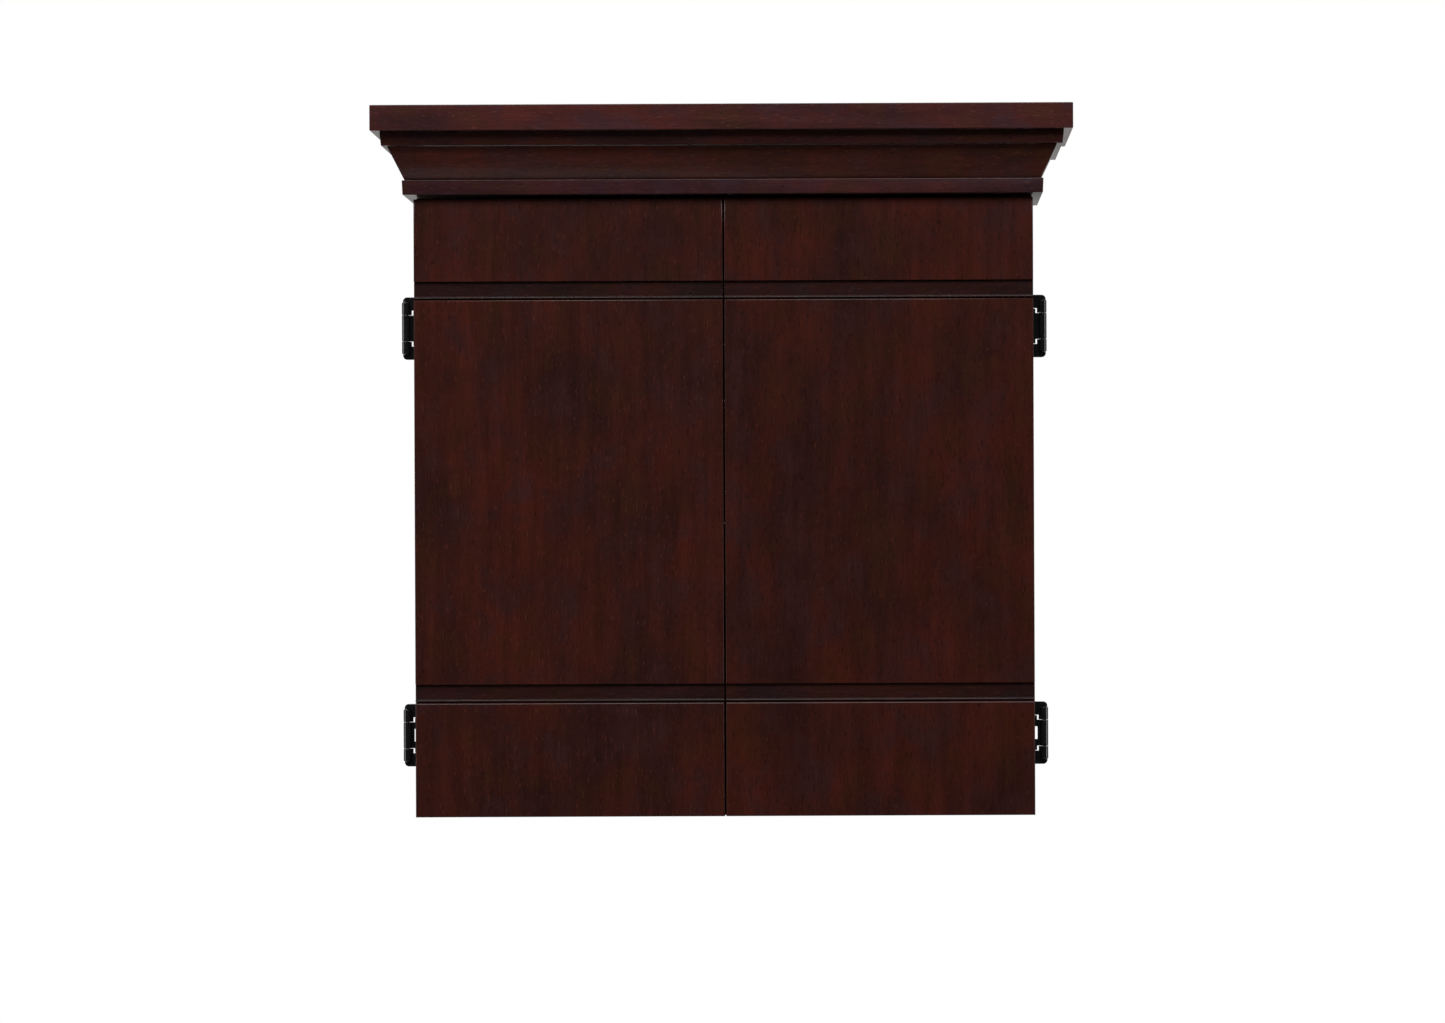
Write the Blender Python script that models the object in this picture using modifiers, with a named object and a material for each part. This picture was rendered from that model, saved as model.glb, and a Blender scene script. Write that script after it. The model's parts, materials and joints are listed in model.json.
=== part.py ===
"""Dart board cabinet: a crowned wall case with two doors around a bristle board.

Metres, +Z up. The origin lies on the wall plane, straight behind the
bull's-eye. X runs along the wall, and the doors face -Y.
"""
import math

import bmesh
import bpy
from mathutils import Matrix, Vector

# ---- Driving dimensions: case and doors ----
GAP = 0.0003                    # left between pieces that touch
DOOR_WIDTH = 0.30295
DOOR_HEIGHT = 0.606
DOOR_TOP = 0.302
DOOR_THICKNESS = 0.020
DOOR_FRONT = 0.1231             # from the wall to the doors' faces
DOOR_EDGE = 0.0012              # rounding of a door's outer edges
CENTRE_GAP = 0.0015             # between the two closed doors
HINGE_SPACE = 0.002             # between a door's back and the case
CASE_TOP = 0.3052
CASE_WALL = 0.015
BACK_THICKNESS = 0.006
RAIL_HEIGHT = 0.040
RAIL_THICKNESS = 0.012
CORK_THICKNESS = 0.0037

# ---- Driving dimensions: recessed bands across each door ----
BAND_DROPS = {"upper": 0.081, "lower": 0.476}   # from the door's top edge
BAND_HEIGHT = 0.018
BAND_DEPTH = 0.007
TRIM_HEIGHT = 0.0170
TRIM_RECESS = 0.0030            # of the trim's face behind the door's
BEAD_RADIUS = 0.0019            # half-round bead along the trim's lower edge

# ---- Driving dimensions: crown, as half widths and heights ----
CROWN_RETURN = 0.1806           # half width minus depth, the same on every layer
BASE_HALF = (0.3132, 0.3138)
BASE_Z = (0.3055, 0.3197)
SLOPE_HALF = (0.3114, 0.3264)
SLOPE_Z = (0.3200, 0.3513)
SLOPE_THICKNESS = 0.014
FILLET_HALF = (0.3317, 0.3330)
FILLET_Z = (0.3516, 0.3647)
FILLET_THICKNESS = 0.020
CAP_HALF = 0.3416
CAP_Z = (0.3650, 0.3900)
CROWN_EDGE = 0.0010             # rounding of the flat crown boards
MITRE_CLEARANCE = 0.00022       # taken off each side of a mitre

# ---- Driving dimensions: hinges ----
HINGE_DROPS = {"upper": 0.1253, "lower": 0.5260}    # centres, from the door's top
LEAF_THICKNESS = 0.0014
CASE_LEAF_HALF = 0.0308
CASE_LEAF_INNER = 0.0140        # reach over the case's front edge
CASE_LEAF_OUTER = 0.0130        # reach beyond the door's edge
CASE_LEAF_CORNER = 0.0042
WINDOW_HALF = 0.018
WINDOW_INNER = 0.0108
WINDOW_OUTER = 0.0046
DOOR_LEAF_HALF = 0.017
DOOR_LEAF_INNER = 0.0101
DOOR_LEAF_OUTER = 0.0024
DOOR_LEAF_SLOT_HALF = 0.0062
DOOR_LEAF_SLOT_INNER = 0.0028
DOOR_LEAF_SLOT_OUTER = {"upper": 0.0006, "lower": 0.0036}
KNUCKLE_RADIUS = 0.0039
KNUCKLE_OFFSET = 0.0098         # hinge axis, outside the door's edge
KNUCKLE_STEP = 0.00025          # knuckles start in front of the leaf's back
KNUCKLE_LAP = 0.0003            # knuckles run on past the edges of their plates
MID_KNUCKLE_HALF = 0.0128
END_KNUCKLE_TOP = 0.0252
PIN_RADIUS = 0.0017
PIN_HEAD_RADIUS = 0.0022
PIN_HEAD_HEIGHT = 0.0012
BORE_RADIUS = 0.0020

# ---- Driving dimensions: what the doors carry inside ----
SCOREBOARD_WIDTH = 0.230
SCOREBOARD_HEIGHT = 0.400
SCOREBOARD_CENTRE_Z = 0.035
SCOREBOARD_THICKNESS = 0.003
FRAME_WIDTH = 0.014
FRAME_THICKNESS = 0.006
RACK_WIDTH = 0.180
RACK_DEPTH = 0.032
RACK_HEIGHT = 0.012
RACK_TOP = -0.205
RACK_SLOT_WIDTH = 0.007
RACK_SLOT_DEPTH = 0.020
RACK_SLOT_PITCH = 0.045
CATCH_SPAN = (0.018, 0.056)     # along X, out from the centre
CATCH_HEIGHT = 0.012
CATCH_DEPTH = 0.014
STRIKE_HEIGHT = 0.018
STRIKE_THICKNESS = 0.0012

# ---- Driving dimensions: dart board ----
BOARD_RADIUS = 0.2255
BAND_THICKNESS = 0.0012
STANDOFF = 0.0067               # clear space behind the board
DISC_THICKNESS = 0.010
BRISTLE_THICKNESS = 0.028
BAND_PROUD = 0.0005             # of the steel band in front of the bristle
WIRE_WIDTH = 0.0015
WIRE_HEIGHT = 0.0013
SPIDER_RADII = (0.0159, 0.099, 0.107, 0.162, 0.170)
BULL_RADIUS = 0.00635
SECTORS = 20
NUMBER_RING_RADIUS = 0.213
NUMBER_WIRE_RADIUS = 0.0011
PAD_RADIUS = 0.012
PAD_CIRCLE = 0.165
BRACKET_FLANGE = 0.034
BRACKET_WEB = 0.020
BRACKET_SHEET = 0.0015
BRACKET_HEIGHT = 0.060
BRACKET_RISE = 0.0063
BRACKET_SLOT_RADIUS = 0.0028
SCREW_RADIUS = 0.0025
SCREW_HEAD_RADIUS = 0.006
SCREW_HEAD_THICKNESS = 0.003
SCREW_HOLE_RADIUS = 0.0029
ROUND_SEGMENTS = 64
SMALL_SEGMENTS = 20

# ---- Derived positions ----
DOOR_BOTTOM = DOOR_TOP - DOOR_HEIGHT
DOOR_BACK = DOOR_FRONT - DOOR_THICKNESS
DOOR_INNER = CENTRE_GAP / 2
DOOR_OUTER = DOOR_INNER + DOOR_WIDTH
DOOR_MIDDLE = (DOOR_INNER + DOOR_OUTER) / 2
CASE_FRONT = DOOR_BACK - HINGE_SPACE
CASE_INSIDE = DOOR_OUTER - CASE_WALL
CEILING = CASE_TOP - CASE_WALL
FLOOR = DOOR_BOTTOM + CASE_WALL
CORK_BACK = BACK_THICKNESS + GAP
CORK_FRONT = CORK_BACK + CORK_THICKNESS
AXIS_X = DOOR_OUTER + KNUCKLE_OFFSET
LEAF_BACK = CASE_FRONT + GAP
AXIS_DEPTH = LEAF_BACK + KNUCKLE_STEP + KNUCKLE_RADIUS
DISC_BACK = CORK_FRONT + STANDOFF + GAP
DISC_FRONT = DISC_BACK + DISC_THICKNESS
BRISTLE_BACK = DISC_FRONT + GAP
BRISTLE_FRONT = BRISTLE_BACK + BRISTLE_THICKNESS
DISC_RADIUS = BOARD_RADIUS - BAND_THICKNESS - GAP
FACING_WALL = math.radians(90)  # about X, turns a local +Z to face out of the wall
CURVE_WELD = 1e-6

# ---- Finishes: colour, roughness, metallic ----
FINISHES = {
    "mahogany_lacquer": ((0.032, 0.0095, 0.0070), 0.32, 0.0),
    "case_interior": ((0.030, 0.0100, 0.0075), 0.45, 0.0),
    "back_panel": ((0.055, 0.022, 0.014), 0.60, 0.0),
    "black_metal": ((0.010, 0.010, 0.011), 0.38, 1.0),
    "cork": ((0.36, 0.20, 0.095), 0.90, 0.0),
    "bristle": ((0.20, 0.16, 0.10), 0.95, 0.0),
    "chipboard": ((0.38, 0.27, 0.16), 0.85, 0.0),
    "board_steel": ((0.62, 0.62, 0.64), 0.28, 1.0),
    "black_band": ((0.015, 0.015, 0.016), 0.45, 1.0),
    "zinc_steel": ((0.52, 0.53, 0.55), 0.35, 1.0),
    "chalkboard": ((0.012, 0.016, 0.014), 0.75, 0.0),
    "pad_rubber": ((0.020, 0.020, 0.020), 0.85, 0.0),
    "catch_plastic": ((0.050, 0.022, 0.014), 0.55, 0.0),
}


# ---- Scene, finishes and shared ways of making a piece ----

def clear_scene():
    """Start from an empty scene."""
    for item in list(bpy.data.objects):
        bpy.data.objects.remove(item, do_unlink=True)


def new_collection(name):
    """A collection linked to the scene."""
    group = bpy.data.collections.new(name)
    bpy.context.scene.collection.children.link(group)
    return group


def new_finish(name):
    """A Principled material for one of the finishes."""
    colour, roughness, metallic = FINISHES[name]
    finish = bpy.data.materials.new(name)
    finish.use_nodes = True
    shader = finish.node_tree.nodes["Principled BSDF"]
    shader.inputs["Base Color"].default_value = (*colour, 1.0)
    shader.inputs["Roughness"].default_value = roughness
    shader.inputs["Metallic"].default_value = metallic
    return finish


def hold(piece, pivot):
    """Hang a piece on a door's pivot without moving it."""
    if pivot is not None:
        piece.parent = pivot
        piece.matrix_parent_inverse = Matrix.Translation(-pivot.location)


def add_piece(name, data, finish, pivot=None):
    """Put a mesh or curve into the cabinet's collection under a name."""
    piece = bpy.data.objects.new(name, data)
    cabinet.objects.link(piece)
    if finish is not None:
        data.materials.append(finishes[finish])
    hold(piece, pivot)
    return piece


def add_cutter(name, data):
    """Put a shape that only cuts or joins into the cutters' collection."""
    cutter = bpy.data.objects.new(name, data)
    cutters.objects.link(cutter)
    cutter.hide_render = True
    cutter.display_type = "WIRE"
    return cutter


def mesh_of(name, shape):
    """Turn a finished bmesh into a mesh."""
    mesh = bpy.data.meshes.new(name)
    shape.to_mesh(mesh)
    shape.free()
    return mesh


def box_mesh(name, x, y, z):
    """A box mesh about its own centre, and that centre."""
    size = Vector((x[1] - x[0], y[1] - y[0], z[1] - z[0]))
    centre = Vector((x[0] + x[1], y[0] + y[1], z[0] + z[1])) / 2
    shape = bmesh.new()
    bmesh.ops.create_cube(shape, size=1.0, matrix=Matrix.Diagonal(size).to_4x4())
    return mesh_of(name, shape), centre


def cylinder_mesh(name, radius, length, segments=SMALL_SEGMENTS):
    """A cylinder mesh along Z about its own centre."""
    shape = bmesh.new()
    bmesh.ops.create_cone(shape, cap_ends=True, segments=segments, radius1=radius,
                          radius2=radius, depth=length)
    mesh = mesh_of(name, shape)
    smooth_round(mesh)
    return mesh


def smooth_round(mesh):
    """Shade round sides smooth and keep the rims sharp."""
    mesh.shade_smooth()
    mesh.set_sharp_from_angle(angle=math.radians(40))


def board(name, x, y, z, finish, pivot=None, edge=0.0):
    """A rectangular piece between three pairs of limits, edges rounded on request."""
    mesh, centre = box_mesh(name, x, y, z)
    piece = add_piece(name, mesh, finish, pivot)
    piece.location = centre
    if edge > 0:
        rounding = piece.modifiers.new("rounded_edges", "BEVEL")
        rounding.width = edge
        rounding.segments = 2
    return piece


def boolean(piece, other, operation):
    """Cut another shape out of a piece, or join it on."""
    step = piece.modifiers.new(other.name, "BOOLEAN")
    step.object = other
    step.operation = operation
    step.solver = "EXACT"


def span(side, inner, outer):
    """An X range on the left (side -1) or right (side +1), lowest first."""
    return tuple(sorted((side * inner, side * outer)))


def depths(near, far):
    """A Y range from two distances in front of the wall, lowest first."""
    return (-far, -near)


def turned(name, profile, finish, segments, closed=False):
    """A turned piece about local Z; the profile runs down its outer side."""
    mesh = bpy.data.meshes.new(name)
    points = [(radius, 0.0, height) for radius, height in profile]
    edges = [(i, i + 1) for i in range(len(points) - 1)]
    if closed:
        edges.append((len(points) - 1, 0))
    mesh.from_pydata(points, edges, [])
    piece = add_piece(name, mesh, finish)
    lathe = piece.modifiers.new("turned", "SCREW")
    lathe.steps = segments
    lathe.render_steps = segments
    lathe.use_merge_vertices = True
    lathe.merge_threshold = CURVE_WELD
    lathe.use_smooth_shade = True
    return piece


def ring_profile(inner, outer, low, high):
    """The closed section of a turned ring, down its outer side first."""
    return [(outer, high), (outer, low), (inner, low), (inner, high)]


def outline_mesh(name, loops, thickness):
    """A flat plate from closed outlines in local XY; inner loops are openings."""
    curve = bpy.data.curves.new(name, "CURVE")
    curve.dimensions = "2D"
    curve.fill_mode = "BOTH"
    curve.extrude = thickness / 2
    for loop in loops:
        spline = curve.splines.new("POLY")
        spline.points.add(len(loop) - 1)
        for point, (x, y) in zip(spline.points, loop):
            point.co = (x, y, 0.0, 1.0)
        spline.use_cyclic_u = True
    plate = bpy.data.objects.new(name, curve)
    cutters.objects.link(plate)
    graph = bpy.context.evaluated_depsgraph_get()
    mesh = bpy.data.meshes.new_from_object(plate.evaluated_get(graph))
    bpy.data.objects.remove(plate)
    shape = bmesh.new()
    shape.from_mesh(mesh)
    bmesh.ops.remove_doubles(shape, verts=shape.verts, dist=CURVE_WELD)
    bmesh.ops.recalc_face_normals(shape, faces=shape.faces)
    shape.to_mesh(mesh)
    shape.free()
    mesh.materials.clear()
    return mesh


def rectangle(x, y):
    """Corners of a rectangle between two pairs of limits."""
    return [(x[0], y[0]), (x[1], y[0]), (x[1], y[1]), (x[0], y[1])]


def arc(centre, radius, start, end, count):
    """Points along a circular arc, angles in degrees."""
    points = []
    for step in range(count):
        angle = math.radians(start + (end - start) * step / (count - 1))
        points.append((centre[0] + radius * math.cos(angle),
                       centre[1] + radius * math.sin(angle)))
    return points


# ---- Case ----

def build_case():
    """Sides, top, bottom, back, hanging rails and the cork lining."""
    reach = depths(0.0, CASE_FRONT)
    inside = (-(CASE_INSIDE - GAP), CASE_INSIDE - GAP)
    for word, side in SIDES:
        board(f"{word}_side_panel", span(side, CASE_INSIDE, DOOR_OUTER), reach,
              (DOOR_BOTTOM, CASE_TOP), "mahogany_lacquer")
    board("case_top_panel", inside, reach, (CEILING, CASE_TOP), "mahogany_lacquer")
    board("case_bottom_panel", inside, reach, (DOOR_BOTTOM, FLOOR), "mahogany_lacquer")
    board("back_panel", inside, depths(0.0, BACK_THICKNESS),
          (FLOOR + GAP, CEILING - GAP), "back_panel")
    rail_reach = depths(CORK_BACK, CORK_BACK + RAIL_THICKNESS)
    rail_low = (FLOOR + GAP, FLOOR + GAP + RAIL_HEIGHT)
    rail_high = (CEILING - GAP - RAIL_HEIGHT, CEILING - GAP)
    board("lower_hanging_rail", inside, rail_reach, rail_low, "case_interior")
    board("upper_hanging_rail", inside, rail_reach, rail_high, "case_interior")
    board("cork_backboard", inside, depths(CORK_BACK, CORK_FRONT),
          (rail_low[1] + GAP, rail_high[0] - GAP), "cork")


# ---- Crown ----

def crown_strip(name, where, half, z, thickness):
    """One mitred strip of a crown layer: the front, or a return to the wall.

    half holds the layer's half width at its bottom and at its top. Its front
    stands CROWN_RETURN less than that from the wall, so both overhangs match.
    """
    shape = bmesh.new()
    bmesh.ops.create_cube(shape, size=2.0)
    for corner in shape.verts:
        across, along, up = corner.co
        outward = -along if where == 0 else across * where
        reach = half[1] if up > 0 else half[0]
        reach -= 0.0 if outward > 0 else thickness
        height = z[1] if up > 0 else z[0]
        front = CROWN_RETURN - reach
        if where == 0:
            corner.co = (across * (reach - MITRE_CLEARANCE), front, height)
        elif along < 0:
            corner.co = (where * reach, front + MITRE_CLEARANCE, height)
        else:
            corner.co = (where * reach, 0.0, height)
    add_piece(name, mesh_of(name, shape), "mahogany_lacquer")


def build_crown():
    """Base board, mitred slope and fillet layers, and the cap board."""
    base = bmesh.new()
    bmesh.ops.create_cube(base, size=2.0)
    for corner in base.verts:
        half = BASE_HALF[1] if corner.co.z > 0 else BASE_HALF[0]
        height = BASE_Z[1] if corner.co.z > 0 else BASE_Z[0]
        depth = CROWN_RETURN - half if corner.co.y < 0 else 0.0
        corner.co = (math.copysign(half, corner.co.x), depth, height)
    add_piece("crown_base_board", mesh_of("crown_base_board", base),
              "mahogany_lacquer")
    for word, where in (("front", 0), ("left", -1), ("right", 1)):
        crown_strip(f"crown_slope_{word}", where, SLOPE_HALF, SLOPE_Z, SLOPE_THICKNESS)
        crown_strip(f"crown_fillet_{word}", where, FILLET_HALF, FILLET_Z,
                    FILLET_THICKNESS)
    board("crown_cap_board", (-CAP_HALF, CAP_HALF),
          depths(0.0, CAP_HALF - CROWN_RETURN), CAP_Z, "mahogany_lacquer",
          edge=CROWN_EDGE)


# ---- Doors ----

def build_door(word, side, pivot):
    """A slab door with two trimmed bands, and what it carries inside."""
    panel = board(f"{word}_door_panel", span(side, DOOR_INNER, DOOR_OUTER),
                  depths(DOOR_BACK, DOOR_FRONT), (DOOR_BOTTOM, DOOR_TOP),
                  "mahogany_lacquer", pivot, edge=DOOR_EDGE)
    beyond = DOOR_EDGE * 2
    floor = DOOR_FRONT - BAND_DEPTH
    for level, drop in BAND_DROPS.items():
        top = DOOR_TOP - drop
        name = f"{word}_{level}_band_cutter"
        groove, centre = box_mesh(name,
                                  span(side, DOOR_INNER - beyond, DOOR_OUTER + beyond),
                                  depths(floor, DOOR_FRONT + beyond),
                                  (top - BAND_HEIGHT, top))
        cutter = add_cutter(name, groove)
        cutter.location = centre
        hold(cutter, pivot)
        boolean(panel, cutter, "DIFFERENCE")
        build_trim(f"{word}_{level}_trim", side, top - GAP, pivot)
    build_scoreboard(word, side, pivot)
    build_dart_rack(word, side, pivot)
    strike_top = CEILING - GAP
    board(f"{word}_strike_plate", span(side, *CATCH_SPAN),
          depths(DOOR_BACK - GAP - STRIKE_THICKNESS, DOOR_BACK - GAP),
          (strike_top - STRIKE_HEIGHT, strike_top), "zinc_steel", pivot)


def build_trim(name, side, top, pivot):
    """A thin strip along a band, with a half-round bead at its lower edge."""
    back = DOOR_FRONT - BAND_DEPTH + GAP
    face = DOOR_FRONT - TRIM_RECESS
    bottom = top - TRIM_HEIGHT
    section = [(back, bottom), (back, top), (face, top)]
    section.extend(arc((face, bottom + BEAD_RADIUS), BEAD_RADIUS, 90, -90, 9))
    mesh = outline_mesh(name, [section], DOOR_WIDTH)
    trim = add_piece(name, mesh, "mahogany_lacquer", pivot)
    trim.rotation_euler = (FACING_WALL, 0.0, -FACING_WALL)
    trim.location.x = side * DOOR_MIDDLE


def build_scoreboard(word, side, pivot):
    """A writing panel in a raised frame on a door's inner face."""
    middle = side * DOOR_MIDDLE
    near = DOOR_BACK - GAP
    half = SCOREBOARD_WIDTH / 2
    rise = SCOREBOARD_HEIGHT / 2
    board(f"{word}_scoreboard", (middle - half, middle + half),
          depths(near - SCOREBOARD_THICKNESS, near),
          (SCOREBOARD_CENTRE_Z - rise, SCOREBOARD_CENTRE_Z + rise),
          "chalkboard", pivot)
    name = f"{word}_scoreboard_frame"
    loops = []
    for margin in (FRAME_WIDTH, GAP):
        loops.append(rectangle((-half - margin, half + margin),
                               (-rise - margin, rise + margin)))
    frame = add_piece(name, outline_mesh(name, loops, FRAME_THICKNESS),
                      "mahogany_lacquer", pivot)
    frame.rotation_euler.x = FACING_WALL
    frame.location = (middle, -(near - FRAME_THICKNESS / 2), SCOREBOARD_CENTRE_Z)


def build_dart_rack(word, side, pivot):
    """A ledge with three slots, open at its free edge, that hold darts upright."""
    name = f"{word}_dart_rack"
    half = RACK_WIDTH / 2
    radius = RACK_SLOT_WIDTH / 2
    outline = [(half, 0.0), (-half, 0.0), (-half, RACK_DEPTH)]
    for step in (-1, 0, 1):
        middle = step * RACK_SLOT_PITCH
        bottom = RACK_DEPTH - RACK_SLOT_DEPTH + radius
        outline.append((middle - radius, RACK_DEPTH))
        outline.extend(arc((middle, bottom), radius, 180, 360, 7))
        outline.append((middle + radius, RACK_DEPTH))
    outline.append((half, RACK_DEPTH))
    rack = add_piece(name, outline_mesh(name, [outline], RACK_HEIGHT),
                     "mahogany_lacquer", pivot)
    rack.location = (side * DOOR_MIDDLE, -(DOOR_BACK - GAP), RACK_TOP - RACK_HEIGHT / 2)


def build_catch(word, side):
    """A magnetic catch under the case's top, behind the closed door."""
    front = DOOR_BACK - GAP - STRIKE_THICKNESS - GAP
    board(f"{word}_magnetic_catch", span(side, *CATCH_SPAN),
          depths(front - CATCH_DEPTH, front),
          (CEILING - GAP - CATCH_HEIGHT, CEILING - GAP), "catch_plastic")


# ---- Hinges ----

def knuckle(piece, name, place, low, high, height):
    """Join a rolled knuckle onto a leaf, between two heights from the centre."""
    mesh = cylinder_mesh(name, KNUCKLE_RADIUS, high - low)
    roll = add_cutter(name, mesh)
    roll.location = (place[0], place[1], height + (low + high) / 2)
    boolean(piece, roll, "UNION")


def bore(piece, name, place, height):
    """Drill a leaf's knuckles for the pin."""
    drill = add_cutter(name, cylinder_mesh(name, BORE_RADIUS, CASE_LEAF_HALF * 2))
    drill.location = (*place, height)
    boolean(piece, drill, "DIFFERENCE")


def leaf(name, side, height, loops, pivot=None):
    """A pressed leaf, from outlines given outward from the door's edge."""
    mirrored = [[(side * out, up) for out, up in loop] for loop in loops]
    piece = add_piece(name, outline_mesh(name, mirrored, LEAF_THICKNESS),
                      "black_metal", pivot)
    piece.rotation_euler.x = FACING_WALL
    piece.location = (side * DOOR_OUTER, -(LEAF_BACK + LEAF_THICKNESS / 2), height)
    return piece


def case_leaf_outline():
    """A C-shaped plate: rounded outer corners, and a window for the door leaf."""
    corner = CASE_LEAF_CORNER
    outer = CASE_LEAF_OUTER - corner
    rise = CASE_LEAF_HALF - corner
    rim = KNUCKLE_OFFSET
    low = MID_KNUCKLE_HALF + GAP + KNUCKLE_LAP
    top = END_KNUCKLE_TOP - KNUCKLE_LAP
    loop = [(-CASE_LEAF_INNER, -CASE_LEAF_HALF)]
    loop.extend(arc((outer, -rise), corner, -90, 0, 5))
    loop.extend([(CASE_LEAF_OUTER, -top), (rim, -top)])
    loop.extend([(rim, -low), (WINDOW_OUTER, -low)])
    loop.extend([(WINDOW_OUTER, -WINDOW_HALF), (-WINDOW_INNER, -WINDOW_HALF)])
    loop.extend([(-WINDOW_INNER, WINDOW_HALF), (WINDOW_OUTER, WINDOW_HALF)])
    loop.extend([(WINDOW_OUTER, low), (rim, low)])
    loop.extend([(rim, top), (CASE_LEAF_OUTER, top)])
    loop.extend(arc((outer, rise), corner, 0, 90, 5))
    loop.append((-CASE_LEAF_INNER, CASE_LEAF_HALF))
    return [loop]


def door_leaf_outlines(level):
    """The nested leaf with its neck to the middle knuckle and its slot."""
    neck = MID_KNUCKLE_HALF - KNUCKLE_LAP
    body = [(-DOOR_LEAF_INNER, -DOOR_LEAF_HALF), (DOOR_LEAF_OUTER, -DOOR_LEAF_HALF),
            (DOOR_LEAF_OUTER, -neck), (KNUCKLE_OFFSET, -neck),
            (KNUCKLE_OFFSET, neck), (DOOR_LEAF_OUTER, neck),
            (DOOR_LEAF_OUTER, DOOR_LEAF_HALF), (-DOOR_LEAF_INNER, DOOR_LEAF_HALF)]
    slot = rectangle((-DOOR_LEAF_SLOT_INNER, DOOR_LEAF_SLOT_OUTER[level]),
                     (-DOOR_LEAF_SLOT_HALF, DOOR_LEAF_SLOT_HALF))
    return [body, slot]


def build_hinge(word, side, level, pivot):
    """A nested-leaf hinge: a case leaf, a door leaf and the pin through both."""
    height = DOOR_TOP - HINGE_DROPS[level]
    place = (side * AXIS_X, -AXIS_DEPTH)
    name = f"{word}_{level}_hinge"
    low = MID_KNUCKLE_HALF + GAP
    case_leaf = leaf(f"{name}_case_leaf", side, height, case_leaf_outline())
    knuckle(case_leaf, f"{name}_top_knuckle", place, low, END_KNUCKLE_TOP, height)
    knuckle(case_leaf, f"{name}_bottom_knuckle", place, -END_KNUCKLE_TOP, -low, height)
    bore(case_leaf, f"{name}_case_bore", place, height)
    door_leaf = leaf(f"{name}_door_leaf", side, height, door_leaf_outlines(level), pivot)
    knuckle(door_leaf, f"{name}_middle_knuckle", place, -MID_KNUCKLE_HALF,
            MID_KNUCKLE_HALF, height)
    bore(door_leaf, f"{name}_door_bore", place, height)
    inside = END_KNUCKLE_TOP + GAP
    end = inside + PIN_HEAD_HEIGHT
    profile = [(0.0, end), (PIN_HEAD_RADIUS, end), (PIN_HEAD_RADIUS, inside),
               (PIN_RADIUS, inside), (PIN_RADIUS, -inside), (PIN_HEAD_RADIUS, -inside),
               (PIN_HEAD_RADIUS, -end), (0.0, -end)]
    pin = turned(f"{name}_pin", profile, "black_metal", SMALL_SEGMENTS)
    pin.location = (*place, height)


# ---- Dart board ----

def facing(piece):
    """Turn a piece made about local Z to face out of the wall."""
    piece.rotation_euler.x = FACING_WALL


def spider_loops():
    """The wire grid: a disc outline, its centre hole and every open segment."""
    half = WIRE_WIDTH / 2
    sector = 360 / SECTORS
    centre = (0.0, 0.0)
    rim = arc(centre, SPIDER_RADII[-1] + half, 0, 360, 2 * SECTORS + 1)[:-1]
    hole = arc(centre, SPIDER_RADII[0] - half, 0, 360, SECTORS + 1)[:-1]
    loops = [rim, hole]
    for index in range(SECTORS):
        middle = 90 + index * sector
        for near, far in zip(SPIDER_RADII, SPIDER_RADII[1:]):
            inner = near + half
            outer = far - half
            swing_in = sector / 2 - math.degrees(math.asin(half / inner))
            swing_out = sector / 2 - math.degrees(math.asin(half / outer))
            count = 2 if near == SPIDER_RADII[0] else 3
            window = arc(centre, inner, middle - swing_in, middle + swing_in, count)
            window.extend(arc(centre, outer, middle + swing_out, middle - swing_out, 3))
            loops.append(window)
    return loops


def build_dart_board():
    """Backing disc, bristle, steel band, wires, number ring and hanging parts."""
    disc = turned("dartboard_backing_disc",
                  ring_profile(SCREW_HOLE_RADIUS, DISC_RADIUS, DISC_BACK, DISC_FRONT),
                  "chipboard", ROUND_SEGMENTS, closed=True)
    facing(disc)
    bristle = add_piece("dartboard_bristle",
                        cylinder_mesh("dartboard_bristle", DISC_RADIUS,
                                      BRISTLE_THICKNESS, ROUND_SEGMENTS), "bristle")
    facing(bristle)
    bristle.location.y = -(BRISTLE_BACK + BRISTLE_FRONT) / 2
    band = turned("dartboard_steel_band",
                  ring_profile(BOARD_RADIUS - BAND_THICKNESS, BOARD_RADIUS, DISC_BACK,
                               BRISTLE_FRONT + BAND_PROUD),
                  "black_band", ROUND_SEGMENTS, closed=True)
    facing(band)
    wires = outline_mesh("dartboard_spider", spider_loops(), WIRE_HEIGHT)
    spider = add_piece("dartboard_spider", wires, "board_steel")
    facing(spider)
    wire_back = BRISTLE_FRONT + GAP
    spider.location.y = -(wire_back + WIRE_HEIGHT / 2)
    half = WIRE_WIDTH / 2
    bull = turned("dartboard_bull_ring",
                  ring_profile(BULL_RADIUS - half, BULL_RADIUS + half, wire_back,
                               wire_back + WIRE_HEIGHT),
                  "board_steel", SMALL_SEGMENTS, closed=True)
    facing(bull)
    build_number_ring(wire_back + NUMBER_WIRE_RADIUS)
    build_hanging_parts()


def build_number_ring(depth):
    """The round wire that carries the numbers."""
    curve = bpy.data.curves.new("dartboard_number_ring", "CURVE")
    curve.dimensions = "3D"
    curve.bevel_depth = NUMBER_WIRE_RADIUS
    curve.bevel_resolution = 1
    ring = arc((0.0, 0.0), NUMBER_RING_RADIUS, 0, 360, ROUND_SEGMENTS + 1)[:-1]
    spline = curve.splines.new("POLY")
    spline.points.add(len(ring) - 1)
    for point, (x, y) in zip(spline.points, ring):
        point.co = (x, y, 0.0, 1.0)
    spline.use_cyclic_u = True
    piece = add_piece("dartboard_number_ring", curve, "board_steel")
    facing(piece)
    piece.location.y = -depth


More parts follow.
